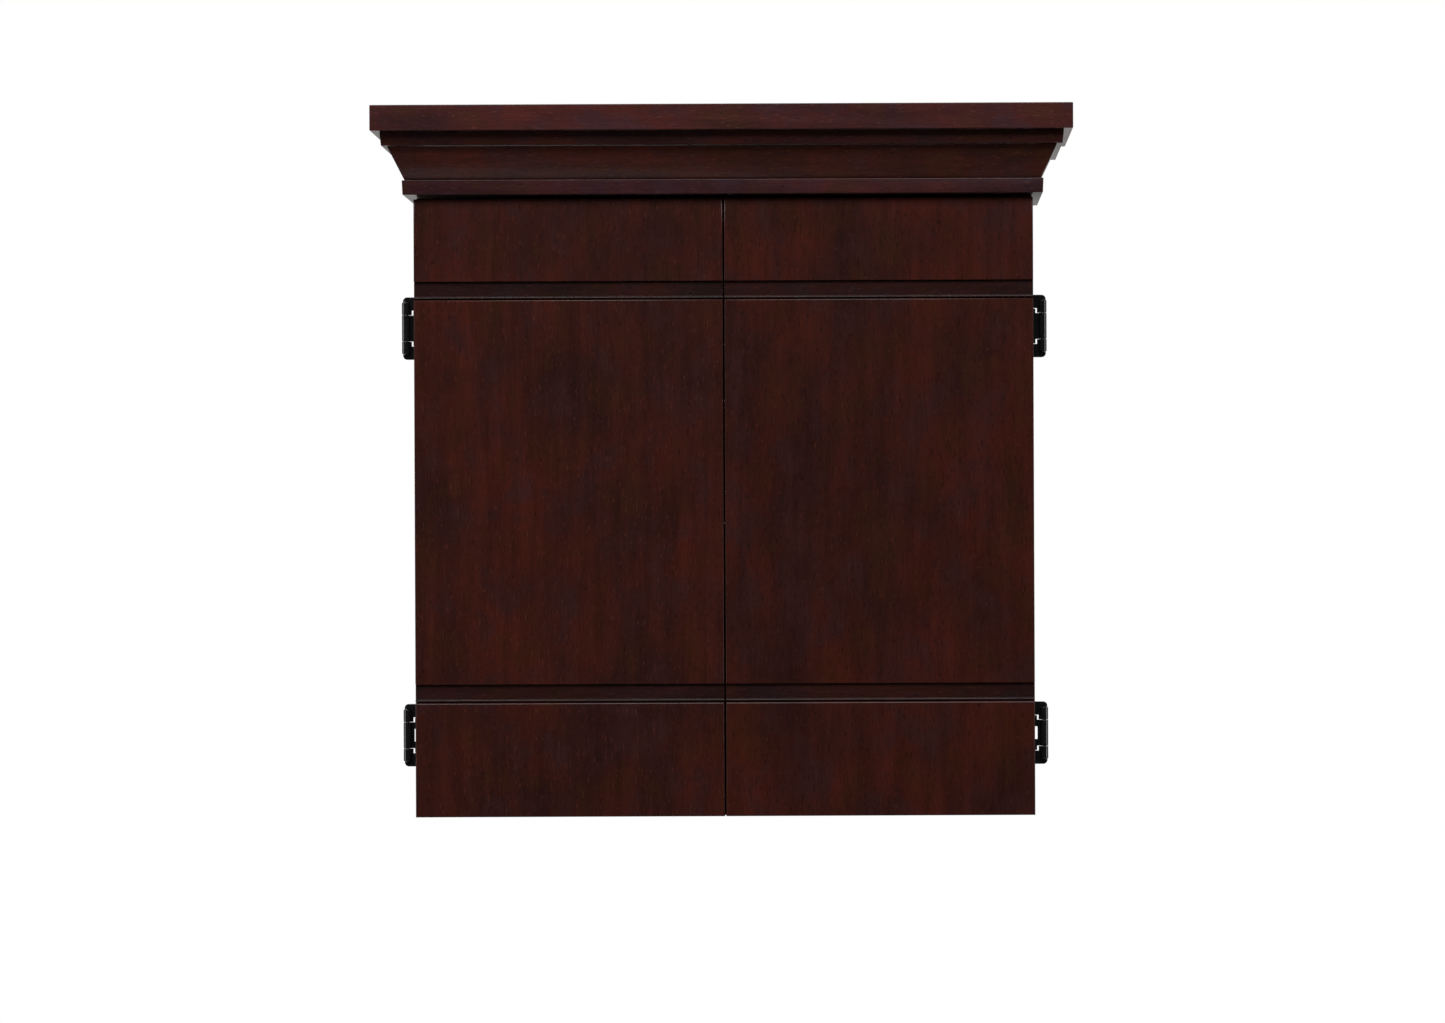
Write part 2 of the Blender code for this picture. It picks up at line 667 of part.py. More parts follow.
def build_hanging_parts():
    """The screw in the board's back, its slotted bracket and three rubber pads."""
    back = CORK_FRONT + GAP
    head_back = back + (BRACKET_RISE - BRACKET_SHEET - SCREW_HEAD_THICKNESS) / 2
    head_front = head_back + SCREW_HEAD_THICKNESS
    tip = DISC_FRONT - GAP
    profile = [(0.0, tip), (SCREW_RADIUS, tip), (SCREW_RADIUS, head_front),
               (SCREW_HEAD_RADIUS, head_front), (SCREW_HEAD_RADIUS, head_back),
               (0.0, head_back)]
    screw = turned("dartboard_hanging_screw", profile, "zinc_steel", SMALL_SEGMENTS)
    facing(screw)
    foot, web, sheet = BRACKET_FLANGE, BRACKET_WEB, BRACKET_SHEET
    rise = BRACKET_RISE
    right = [(web - sheet, 0.0), (foot, 0.0), (foot, sheet), (web, sheet), (web, rise)]
    hat = right + [(-x, y) for x, y in reversed(right)]
    hat += [(-(web - sheet), rise - sheet), (web - sheet, rise - sheet)]
    section = [(x, -(back + y)) for x, y in hat]
    bracket = add_piece("dartboard_bracket",
                        outline_mesh("dartboard_bracket", [section], BRACKET_HEIGHT),
                        "zinc_steel")
    beyond = BRACKET_HEIGHT
    slot = arc((0.0, 0.0), BRACKET_SLOT_RADIUS, 180, 360, 9)
    slot += [(BRACKET_SLOT_RADIUS, beyond), (-BRACKET_SLOT_RADIUS, beyond)]
    cutter = add_cutter("bracket_slot", outline_mesh("bracket_slot", [slot], rise * 2))
    facing(cutter)
    cutter.location.y = -(back + rise)
    boolean(bracket, cutter, "DIFFERENCE")
    for index in range(3):
        angle = math.radians(90 + 120 * index)
        name = f"board_standoff_pad_{index + 1}"
        length = DISC_BACK - CORK_FRONT - 2 * GAP
        pad = add_piece(name, cylinder_mesh(name, PAD_RADIUS, length), "pad_rubber")
        facing(pad)
        pad.location = (PAD_CIRCLE * math.cos(angle), -(back + length / 2),
                        PAD_CIRCLE * math.sin(angle))


# ---- Assembly ----

SIDES = (("left", -1), ("right", 1))

clear_scene()
cabinet = new_collection("dart_board_cabinet")
cutters = new_collection("cutters")
finishes = {name: new_finish(name) for name in FINISHES}

build_case()
build_crown()
build_dart_board()
for word, side in SIDES:
    pivot = bpy.data.objects.new(f"{word}_door_axis", None)
    cabinet.objects.link(pivot)
    pivot.location = (side * AXIS_X, -AXIS_DEPTH, 0.0)
    build_door(word, side, pivot)
    build_catch(word, side)
    for level in HINGE_DROPS:
        build_hinge(word, side, level, pivot)
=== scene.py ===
import json
import math
import random

import bmesh
import bpy
from mathutils import Matrix, Vector


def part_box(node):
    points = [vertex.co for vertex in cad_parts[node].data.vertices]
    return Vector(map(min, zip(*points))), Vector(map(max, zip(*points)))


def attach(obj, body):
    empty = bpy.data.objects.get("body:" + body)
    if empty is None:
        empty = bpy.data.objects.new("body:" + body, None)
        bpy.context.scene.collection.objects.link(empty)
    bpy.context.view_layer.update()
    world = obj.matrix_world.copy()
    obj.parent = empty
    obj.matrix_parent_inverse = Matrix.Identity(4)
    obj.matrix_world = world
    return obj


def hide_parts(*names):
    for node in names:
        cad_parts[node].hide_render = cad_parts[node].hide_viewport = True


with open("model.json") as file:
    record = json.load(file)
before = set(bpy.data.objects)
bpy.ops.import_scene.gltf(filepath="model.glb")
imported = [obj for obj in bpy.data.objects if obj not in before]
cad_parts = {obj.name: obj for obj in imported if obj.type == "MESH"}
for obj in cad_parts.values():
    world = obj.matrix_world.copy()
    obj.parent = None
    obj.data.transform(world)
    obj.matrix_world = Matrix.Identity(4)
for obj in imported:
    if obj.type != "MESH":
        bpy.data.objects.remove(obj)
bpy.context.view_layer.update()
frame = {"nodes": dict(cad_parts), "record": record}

# ---------------------------------------------------------------------------
# The room. A long lens looks square at the wall from a little right of the
# cabinet and below its bull's-eye. One broad soft light hangs high in front
# and a weak upright strip stands at each side; the room is dark behind the
# camera and pale beyond the cabinet.
scene = bpy.context.scene
scene.view_settings.view_transform = "Standard"


def put(name, data):
    """A new object in the scene."""
    piece = bpy.data.objects.new(name, data)
    scene.collection.objects.link(piece)
    return piece


camera_data = bpy.data.cameras.new("camera")
camera_data.lens = 96.26
camera_data.sensor_width = 36.0
camera_data.shift_x = -0.10495
camera_data.shift_y = 0.05305
camera = put("camera", camera_data)
camera.location = (0.1465, -3.91, -0.081)
camera.rotation_euler = (math.radians(90), math.radians(0.24), 0.0)
scene.camera = camera


def hang_light(name, place, target, size, power):
    """A soft rectangular light, aimed at a point."""
    data = bpy.data.lights.new(name, "AREA")
    data.shape = "RECTANGLE"
    data.size, data.size_y = size
    data.energy = power
    light = put(name, data)
    light.location = place
    aim = Vector(target) - Vector(place)
    light.rotation_euler = aim.to_track_quat("-Z", "Y").to_euler()


hang_light("high_softbox", place=(-0.5, -3.85, 3.75), target=(0.0, -0.18, 0.25),
           size=(4.4, 2.2), power=286.0)
for side in (-1, 1):
    hang_light(f"strip_{side}", place=(side * 3.4, -1.4, 0.0), target=(0.0, -0.12, 0.0),
               size=(0.70, 2.6), power=26.0)


class Nodes:
    """A node tree under construction."""

    def __init__(self, tree):
        self.tree = tree

    def add(self, kind, feeds=(), **settings):
        """A node of a kind, with its settings and what feeds its sockets."""
        node = self.tree.nodes.new(kind)
        for setting, value in settings.items():
            setattr(node, setting, value)
        for socket, value in dict(feeds).items():
            self.feed(node, socket, value)
        return node

    def feed(self, node, socket, value):
        """Give a socket a fixed value, or link an output to it."""
        if isinstance(value, bpy.types.NodeSocket):
            self.tree.links.new(value, node.inputs[socket])
        else:
            node.inputs[socket].default_value = value


world = bpy.data.worlds.new("studio")
world.use_nodes = True
scene.world = world
air = Nodes(world.node_tree)
direction = air.add("ShaderNodeTexCoord").outputs["Generated"]
axes = air.add("ShaderNodeSeparateXYZ", {"Vector": direction})
fade = air.add("ShaderNodeMapRange",
               {"Value": axes.outputs["Y"], "From Min": -0.35, "From Max": 0.65,
                "To Min": 0.030, "To Max": 0.62}, interpolation_type="SMOOTHSTEP")
glow = air.tree.nodes["Background"]
air.feed(glow, "Color", (1.0, 0.985, 0.97, 1.0))
air.feed(glow, "Strength", fade.outputs["Result"])
backdrop = air.add("ShaderNodeBackground", {"Color": (1.0, 1.0, 1.0, 1.0)})
rays = air.add("ShaderNodeLightPath")
choice = air.add("ShaderNodeMixShader",
                 {"Fac": rays.outputs["Is Camera Ray"], 1: glow.outputs["Background"],
                  2: backdrop.outputs["Background"]})
air.feed(air.tree.nodes["World Output"], "Surface", choice.outputs["Shader"])


def as_mesh(name, shape):
    """A shape's mesh; the shape is freed."""
    mesh = bpy.data.meshes.new(name)
    shape.to_mesh(mesh)
    shape.free()
    return mesh


BULL_HEIGHT = 1.73
floor_shape = bmesh.new()
bmesh.ops.create_circle(floor_shape, cap_ends=True, radius=1.6, segments=96,
                        matrix=Matrix.Translation((0.0, 0.0, -BULL_HEIGHT)))
floor = put("floor", as_mesh("floor", floor_shape))
floor_paint = bpy.data.materials.new("floor_paint")
floor_paint.use_nodes = True
floor_shader = floor_paint.node_tree.nodes["Principled BSDF"]
floor_shader.inputs["Base Color"].default_value = (0.80, 0.79, 0.77, 1.0)
floor_shader.inputs["Roughness"].default_value = 0.7
floor.data.materials.append(floor_paint)

# ---------------------------------------------------------------------------
# The case: two sides that run to the top, with a top and a bottom between
# them. Solid boards, stained dark mahogany and lacquered satin, with their
# edges eased; every board has its own run of grain and its own laid tint, its
# stain, which on the crown also carries painted light and painted shade.
BODY_OF = {node: body
           for body, nodes in frame["record"]["behaviour"]["bodies"].items()
           for node in nodes}


class Finish(Nodes):
    """A Principled material under construction."""

    def __init__(self, name, **sockets):
        self.material = bpy.data.materials.new(name)
        self.material.use_nodes = True
        super().__init__(self.material.node_tree)
        self.shader = self.tree.nodes["Principled BSDF"]
        for socket, value in sockets.items():
            self.feed(self.shader, socket.replace("_", " "), value)

    def place(self):
        """Where on the piece, in plain object space."""
        return self.add("ShaderNodeTexCoord").outputs["Object"]

    def laid(self, attribute, output="Color"):
        """What was laid on the mesh under a name."""
        return self.add("ShaderNodeAttribute", attribute_name=attribute).outputs[output]

    def stretched(self, where, scale):
        """Coordinates scaled evenly, or by one number for each axis."""
        scale = scale if isinstance(scale, tuple) else (scale,) * 3
        return self.add("ShaderNodeMapping", {"Vector": where, "Scale": scale}
                        ).outputs["Vector"]

    def noise(self, where, scale, detail, roughness=0.5):
        """Soft noise, as a number around one half."""
        return self.add("ShaderNodeTexNoise",
                        {"Vector": self.stretched(where, scale), "Scale": 1.0,
                         "Detail": detail, "Roughness": roughness}).outputs["Fac"]

    def cells(self, where, scale, feature="F1", output="Distance"):
        """Voronoi cells: distances, or a random colour for each cell."""
        return self.add("ShaderNodeTexVoronoi",
                        {"Vector": self.stretched(where, scale), "Scale": 1.0},
                        feature=feature).outputs[output]

    def span(self, value, low, high, start=0.0, end=1.0):
        """Map a number from one range to another, held at both ends."""
        return self.add("ShaderNodeMapRange",
                        {"Value": value, "From Min": low, "From Max": high,
                         "To Min": start, "To Max": end}).outputs["Result"]

    def maths(self, operation, first, second):
        """One step of arithmetic."""
        return self.add("ShaderNodeMath", {0: first, 1: second}, operation=operation
                        ).outputs["Value"]

    def blend(self, amount, first, second, mode="MIX"):
        """Mix two colours."""
        first, second = ((*colour, 1.0) if isinstance(colour, tuple) else colour
                         for colour in (first, second))
        return self.add("ShaderNodeMix", {"Factor": amount, 6: first, 7: second},
                        data_type="RGBA", blend_type=mode).outputs[2]

    def grey(self, value):
        """A number as a grey colour."""
        return self.add("ShaderNodeCombineColor",
                        {"Red": value, "Green": value, "Blue": value}).outputs["Color"]

    def colour(self, value):
        """Colour the surface."""
        self.feed(self.shader, "Base Color", value)

    def relief(self, height, distance, strength):
        """Raise or sink the surface by a pattern."""
        bump = self.add("ShaderNodeBump", {"Height": height, "Distance": distance,
                                           "Strength": strength})
        self.feed(self.shader, "Normal", bump.outputs["Normal"])


def mahogany(name, gloss, coat):
    """Stained and lacquered wood; it reads each mesh's grain and its laid tint, which is stain
    and, on the crown, also painted light and shade.
    """
    wood = Finish(name, Roughness=gloss, Coat_Weight=coat, Coat_Roughness=0.12,
                  Coat_IOR=1.5, Specular_IOR_Level=0.13)
    plum, russet = (0.0265, 0.0076, 0.0065), (0.0525, 0.0098, 0.0066)
    smoky, olive = (0.0330, 0.0110, 0.0108), (0.0370, 0.0110, 0.0050)
    pit_stain, mote_orange = (0.0080, 0.0030, 0.0027), (0.0900, 0.0230, 0.0150)
    grain = wood.laid("grain", "Vector")
    cloud = wood.noise(grain, (15.0, 15.0, 10.0), 4.0, 0.55)
    patch = wood.noise(grain, (30.0, 30.0, 21.0), 4.0, 0.6)
    streak = wood.noise(grain, (95.0, 95.0, 8.0), 4.0, 0.6)
    fibre = wood.noise(grain, (900.0, 900.0, 34.0), 3.0, 0.6)
    pore = wood.noise(grain, (820.0, 820.0, 150.0), 1.0)
    fleck = wood.noise(grain, (560.0, 560.0, 150.0), 2.0)
    base = wood.blend(wood.span(cloud, 0.36, 0.64), plum, russet)
    base = wood.blend(wood.span(patch, 0.50, 0.64, 0.0, 0.75), base, smoky)
    base = wood.blend(wood.span(patch, 0.48, 0.36, 0.0, 0.60), base, olive)
    for value, low, high in ((streak, 0.82, 1.18), (fibre, 0.84, 1.16)):
        shade = wood.span(value, 0.30, 0.70, low, high)
        base = wood.blend(1.0, base, wood.grey(shade), "MULTIPLY")
    pits = wood.span(pore, 0.63, 0.71)
    base = wood.blend(wood.maths("MULTIPLY", pits, 0.62), base, pit_stain)
    base = wood.blend(wood.span(fleck, 0.62, 0.72, 0.0, 0.55), base, mote_orange)
    # the laid tint multiplies the colour; on the crown boards it is partly painted light,
    # painted reflection and painted shade
    wood.colour(wood.blend(1.0, base, wood.laid("stain"), "MULTIPLY"))
    wood.relief(wood.maths("SUBTRACT", wood.maths("MULTIPLY", fibre, 0.35), pits),
                0.00006, 0.6)
    return wood.material


lacquer = mahogany("mahogany_lacquer", 0.29, 0.16)


def box_shape(low, high):
    """A box between two corners."""
    low, high = Vector(low), Vector(high)
    shape = bmesh.new()
    fit = Matrix.Translation((low + high) / 2) @ Matrix.Diagonal((*(high - low), 1.0))
    bmesh.ops.create_cube(shape, size=1.0, matrix=fit)
    return shape


def node_shape(node):
    """A CAD node's own shape, with its loose triangles merged into clean faces."""
    shape = bmesh.new()
    shape.from_mesh(frame["nodes"][node].data)
    bmesh.ops.remove_doubles(shape, verts=shape.verts, dist=1e-6)
    bmesh.ops.dissolve_limit(shape, angle_limit=math.radians(1), verts=shape.verts,
                             edges=shape.edges)
    return shape


def eased(name, shape, ease, segments=3, weighted=False):
    """Round a shape's edges, all alike or by their weights, and return the mesh."""
    for face in shape.faces:
        face.smooth = True
    blank = put(name, as_mesh(name, shape))
    plane = blank.modifiers.new("eased", "BEVEL")
    plane.width = ease
    plane.segments = segments
    plane.limit_method = "WEIGHT" if weighted else "ANGLE"
    plane.harden_normals = not weighted
    return taken(blank)


def taken(blank):
    """Apply everything on a temporary object, remove it and return its mesh."""
    graph = bpy.context.evaluated_depsgraph_get()
    mesh = bpy.data.meshes.new_from_object(blank.evaluated_get(graph),
                                           preserve_all_data_layers=True,
                                           depsgraph=graph)
    mesh.name = blank.name
    bpy.data.objects.remove(blank)
    return mesh


def lay_grain(mesh, along, stain):
    """Store where each point lies in its own board, grain along Z, and its tint: stain, with
    painted light and shade on the crown boards.
    """
    chance = random.Random(mesh.name)
    shift = Vector([chance.uniform(-20.0, 20.0) for _ in range(3)])
    order = {"x": (1, 2, 0), "y": (2, 0, 1), "z": (0, 1, 2)}[along]
    mesh.attributes.new("grain", "FLOAT_VECTOR", "POINT")
    mesh.attributes.new("stain", "FLOAT_COLOR", "POINT")
    spots = mesh.attributes["grain"].data
    shades = mesh.attributes["stain"].data
    for point, spot, shade in zip(mesh.vertices, spots, shades):
        spot.vector = Vector([point.co[axis] for axis in order]) + shift
        shade.color = (*stain, 1.0)


def install(name, mesh, finish, slot, *nodes, body=None):
    """Hang a finished mesh on its body, in place of the CAD nodes it stands for."""
    mesh.materials.clear()
    mesh.materials.append(finish)
    piece = put(name, mesh)
    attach(piece, body or BODY_OF[nodes[0]])
    if nodes:
        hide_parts(*nodes)


def joinery(node, along, ease, stain=(1.0, 1.0, 1.0), shape=None):
    """A wooden board with eased edges, in place of its CAD node."""
    mesh = eased(f"{node}_wood", shape or node_shape(node), ease)
    lay_grain(mesh, along, stain)
    install(f"{node}_wood", mesh, lacquer, "mahogany_lacquer", node)


for word in ("left", "right"):
    joinery(f"{word}_side_panel", "z", 0.0010)
joinery("case_top_panel", "x", 0.0006)
joinery("case_bottom_panel", "x", 0.0006)

# ---------------------------------------------------------------------------
# The back of the case: a thin stained panel flush with the wall, and two
# rails across it that the wall screws go through. They have one thin coat.
thin_stain = mahogany("thin_stain", 0.55, 0.10)
PALE_STAIN = (1.25, 1.35, 1.35)
for node, slot, along in (("back_panel", "back_panel", "z"),
                          ("upper_hanging_rail", "case_interior", "x"),
                          ("lower_hanging_rail", "case_interior", "x")):
    mesh = eased(f"{node}_wood", node_shape(node), 0.0006)
    lay_grain(mesh, along, PALE_STAIN)
    install(f"{node}_wood", mesh, thin_stain, slot, node)

# ---------------------------------------------------------------------------
# The crown: a base board, a sloping strip and a square fillet, mitred round
# the front and both returns, under a thick cap board. Its boards are tinted
# apart from the doors: the cap, slope and base lighter and bluer, partly a
# lighter stain and partly painted light and painted reflection of the bright
# room above; the fillet darker, a painted shade under the cap.
CROWN_STAIN_AND_PAINTED_LIGHT = {"base": (1.02, 1.38, 1.95), "slope": (1.24, 1.45, 1.36),
               "fillet": (0.68, 0.94, 1.08), "cap": (1.34, 1.60, 1.94)}
joinery("crown_base_board", "x", 0.0007, CROWN_STAIN_AND_PAINTED_LIGHT["base"])
for where, along in (("front", "x"), ("left", "y"), ("right", "y")):
    joinery(f"crown_slope_{where}", along, 0.0003, CROWN_STAIN_AND_PAINTED_LIGHT["slope"])
    # the fillet's darker tint is painted shade under the cap
    joinery(f"crown_fillet_{where}", along, 0.0002, CROWN_STAIN_AND_PAINTED_LIGHT["fillet"])
joinery("crown_cap_board", "x", 0.0009, CROWN_STAIN_AND_PAINTED_LIGHT["cap"],
        box_shape(*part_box("crown_cap_board")))

# ---------------------------------------------------------------------------
# The lining: one sheet of pressed cork granules, glued to the back between the
# rails, where darts that miss the board land.
cork = Finish("pressed_cork", Roughness=0.92, Specular_IOR_Level=0.25)
cork_place = cork.place()
GRANULES = 300.0                # to the metre
PALE_CORK, WARM_CORK = (0.480, 0.275, 0.135), (0.300, 0.150, 0.066)
BARK, GLUE_LINE = (0.085, 0.038, 0.018), (0.150, 0.072, 0.032)
granule = cork.grey(cork.cells(cork_place, GRANULES, output="Color"))
cork_base = cork.blend(cork.noise(cork_place, 900.0, 3.0, 0.6), WARM_CORK, PALE_CORK)
cork_base = cork.blend(0.45, cork_base, granule, "SOFT_LIGHT")
crumb = cork.span(cork.noise(cork_place, 420.0, 1.0), 0.62, 0.70)
cork_base = cork.blend(cork.maths("MULTIPLY", crumb, 0.70), cork_base, BARK)
seam = cork.span(cork.cells(cork_place, GRANULES, "DISTANCE_TO_EDGE"), 0.0, 0.10)
cork.colour(cork.blend(seam, GLUE_LINE, cork_base))
cork.relief(seam, 0.0005, 0.7)
install("cork_lining", eased("cork_lining", node_shape("cork_backboard"), 0.0004, 2),
        cork.material, "cork", "cork_backboard")

# ---------------------------------------------------------------------------
# The dart board's body: sisal fibre pressed end-on against a chipboard disc,
# held in by a black steel strip. The fibre is dyed in rings and sectors, with
# natural singles against black and red beds against green.
RINGS = {"bull": 0.00635, "outer_bull": 0.0159, "treble_in": 0.099, "treble_out": 0.107,
         "double_in": 0.162, "double_out": 0.170}
SECTORS = 20
BLACK_DYE = (0.011, 0.010, 0.010)
NATURAL = (0.560, 0.430, 0.270)
RED_DYE = (0.330, 0.016, 0.014)
GREEN_DYE = (0.010, 0.115, 0.045)


def turned(profile, steps=160, closed=False):
    """A shape turned about the board's axis, from (radius, depth) points."""
    shape = bmesh.new()
    rings = []
    for radius, depth in profile:
        count = steps if radius > 0.0 else 1
        turns = [math.tau * step / count for step in range(count)]
        rings.append([shape.verts.new((radius * math.cos(turn), -depth,
                                       radius * math.sin(turn))) for turn in turns])
    pairs = list(zip(rings, rings[1:]))
    if closed:
        pairs.append((rings[-1], rings[0]))
    for near, far in pairs:
        for step in range(steps):
            after = (step + 1) % steps
            corners = (near[step % len(near)], near[after % len(near)],
                       far[after % len(far)], far[step % len(far)])
            shape.faces.new(list(dict.fromkeys(corners)))
    bmesh.ops.recalc_face_normals(shape, faces=shape.faces)
    return shape


def shaded(name, shape, crease=35.0):
    """A mesh with smooth rounds and flat flats, from a shape."""
    mesh = as_mesh(name, shape)
    mesh.shade_smooth()
    mesh.set_sharp_from_angle(angle=math.radians(crease))
    blank = put(name, mesh)
    weighted = blank.modifiers.new("weighted", "WEIGHTED_NORMAL")
    weighted.keep_sharp = True
    return taken(blank)


def dye_of(radius, turn):
    """The dye at a radius and an angle in degrees, the top sector being black."""
    if radius < RINGS["bull"]:
        return RED_DYE
    if radius < RINGS["outer_bull"]:
        return GREEN_DYE
    if radius > RINGS["double_out"]:
        return BLACK_DYE
    dark = round((90.0 - turn) / (360.0 / SECTORS)) % 2 == 0
    scoring = (RINGS["treble_in"] < radius < RINGS["treble_out"]
               or radius > RINGS["double_in"])
    if scoring:
        return RED_DYE if dark else GREEN_DYE
    return BLACK_DYE if dark else NATURAL


sisal = Finish("dyed_sisal", Roughness=0.95, Specular_IOR_Level=0.15)
sisal_place = sisal.place()
fibre_end = sisal.cells(sisal_place, (2300.0, 500.0, 2300.0), output="Color")
mottle = sisal.noise(sisal_place, 120.0, 4.0, 0.6)
sisal_base = sisal.blend(0.55, sisal.laid("dye"), sisal.grey(fibre_end), "SOFT_LIGHT")
bare = sisal.span(sisal.noise(sisal_place, (1500.0, 300.0, 1500.0), 2.0), 0.66, 0.74)
bare_fibre = (0.400, 0.300, 0.190)
sisal_base = sisal.blend(sisal.maths("MULTIPLY", bare, 0.22), sisal_base, bare_fibre)
tuft = sisal.grey(sisal.span(mottle, 0.30, 0.70, 0.82, 1.18))
sisal.colour(sisal.blend(1.0, sisal_base, tuft, "MULTIPLY"))
sisal.relief(sisal.noise(sisal_place, (1800.0, 400.0, 1800.0), 3.0, 0.7), 0.0006, 0.5)

low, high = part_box("dartboard_bristle")
edge_radius = (high.x - low.x) / 2
ROUNDED = 0.0006
BETWEEN = (0.045, 0.072, 0.125, 0.145, 0.190, 0.207)    # so that no face is too long
radii = sorted((0.0, *RINGS.values(), *BETWEEN, edge_radius - ROUNDED))
profile = [(radius, -low.y) for radius in radii]
profile += [(edge_radius, -low.y - ROUNDED), (edge_radius, -high.y), (0.0, -high.y)]
disc = turned(profile)
tint = disc.loops.layers.float_color.new("dye")
for face in disc.faces:
    middle = face.calc_center_median()
    colour = dye_of(math.hypot(middle.x, middle.z),
                    math.degrees(math.atan2(middle.z, middle.x)))
    for loop in face.loops:
        loop[tint] = (*colour, 1.0)
install("dartboard_sisal", shaded("dartboard_sisal", disc), sisal.material, "bristle",
        "dartboard_bristle")

particle = Finish("raw_chipboard", Roughness=0.88, Specular_IOR_Level=0.2)
chip_place = particle.place()
chip = particle.cells(chip_place, (420.0, 160.0, 420.0), output="Color")
PALE_CHIP, BROWN_CHIP = (0.520, 0.380, 0.230), (0.300, 0.190, 0.100)
chip_base = particle.blend(particle.noise(chip_place, 300.0, 4.0, 0.6), BROWN_CHIP,
                           PALE_CHIP)
particle.colour(particle.blend(0.5, chip_base, particle.grey(chip), "SOFT_LIGHT"))
particle.relief(particle.noise(chip_place, 900.0, 3.0), 0.0003, 0.5)
low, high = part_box("dartboard_backing_disc")
CHAMFER = 0.0008
SCREW_HOLE = 0.0029
rim = (high.x - low.x) / 2
profile = [(SCREW_HOLE, -low.y), (rim - CHAMFER, -low.y), (rim, -low.y - CHAMFER),
           (rim, -high.y + CHAMFER), (rim - CHAMFER, -high.y), (SCREW_HOLE, -high.y)]
install("dartboard_chipboard", shaded("dartboard_chipboard", turned(profile, closed=True)),
        particle.material, "chipboard", "dartboard_backing_disc")


def enamelled(name, base, gloss, flake):
    """Black paint or plating over steel, with a faint orange-peel skin."""
    paint = Finish(name, Specular_IOR_Level=0.5, Coat_Weight=0.5, Coat_Roughness=0.12)
    place = paint.place()
    speck = paint.noise(place, flake, 3.0, 0.6)
    paint.colour(paint.blend(speck, base, tuple(2.0 * part for part in base)))
    paint.feed(paint.shader, "Roughness",
               paint.span(paint.noise(place, 60.0, 4.0), 0.3, 0.7,
                          gloss - 0.06, gloss + 0.06))
    paint.relief(speck, 0.00001, 0.3)
    return paint.material


strip_paint = enamelled("black_strip_enamel", (0.009, 0.009, 0.010), 0.34, 700.0)
low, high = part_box("dartboard_steel_band")
STRIP = 0.0012
ROLLED = 0.0003
outer = (high.x - low.x) / 2
profile = [(outer - STRIP, -low.y - ROLLED), (outer - STRIP + ROLLED, -low.y),
           (outer - ROLLED, -low.y), (outer, -low.y - ROLLED), (outer, -high.y + ROLLED),
           (outer - ROLLED, -high.y), (outer - STRIP + ROLLED, -high.y),
           (outer - STRIP, -high.y + ROLLED)]
install("dartboard_strip", shaded("dartboard_strip", turned(profile, closed=True), 60.0),
        strip_paint, "black_band", "dartboard_steel_band")

# ---------------------------------------------------------------------------
# The wires: twenty straight spokes and five rings of round steel wire make the
# spider, stapled flat to the fibre. A smaller ring marks the bull.


def steel(name, base, gloss, scratch):
    """Bright or zinc-plated steel with fine scratches."""
    metal = Finish(name, Metallic=1.0)
    place = metal.place()
    dull = metal.noise(place, 180.0, 4.0, 0.6)
    fine = metal.noise(place, (scratch, scratch, scratch * 0.06), 3.0, 0.6)
    metal.colour(metal.blend(dull, base, tuple(0.72 * part for part in base)))
    metal.feed(metal.shader, "Roughness", metal.span(fine, 0.3, 0.7, gloss - 0.08,
                                                     gloss + 0.10))
    metal.relief(fine, 0.00003, 0.4)
    return metal.material


class Recipe(Nodes):
    """A geometry node tree under construction, with named inputs for its sizes."""

    def __init__(self, name, **inputs):
        super().__init__(bpy.data.node_groups.new(name, "GeometryNodeTree"))
        face = self.tree.interface
        face.new_socket("Geometry", in_out="INPUT", socket_type="NodeSocketGeometry")
        face.new_socket("Geometry", in_out="OUTPUT", socket_type="NodeSocketGeometry")
        for label, kind in inputs.items():
            face.new_socket(label.replace("_", " ").capitalize(), in_out="INPUT",
                            socket_type=f"NodeSocket{kind}")
        self.entry = self.tree.nodes.new("NodeGroupInput")

    def size(self, label):
        """One of the tree's named inputs."""
        return self.entry.outputs[label.replace("_", " ").capitalize()]

    def joined(self, *parts):
        """Several geometries as one."""
        node = self.tree.nodes.new("GeometryNodeJoinGeometry")
        for part in reversed(parts):
            self.tree.links.new(part, node.inputs[0])
        return node.outputs[0]

    def finished(self, geometry, finish):
        """Realize everything, give it its finish and end the tree."""
        real = self.add("GeometryNodeRealizeInstances", {0: geometry})
        painted = self.add("GeometryNodeSetMaterial",
                           {0: real.outputs[0], "Material": finish})
        self.add("NodeGroupOutput", {0: painted.outputs[0]})

    def made(self, name, points, **sizes):
        """Run the tree on some points and return its mesh."""
        mesh = bpy.data.meshes.new(name)
        mesh.from_pydata([spot for spot, facing in points], [], [])
        mesh.attributes.new("facing", "FLOAT_VECTOR", "POINT")
        for entry, (spot, facing) in zip(mesh.attributes["facing"].data, points):
            entry.vector = facing
        blank = put(name, mesh)
        run = blank.modifiers.new("recipe", "NODES")
        run.node_group = self.tree
        for label, value in sizes.items():
            item = self.tree.interface.items_tree[label.replace("_", " ").capitalize()]
            run[item.identifier] = value
        return taken(blank)


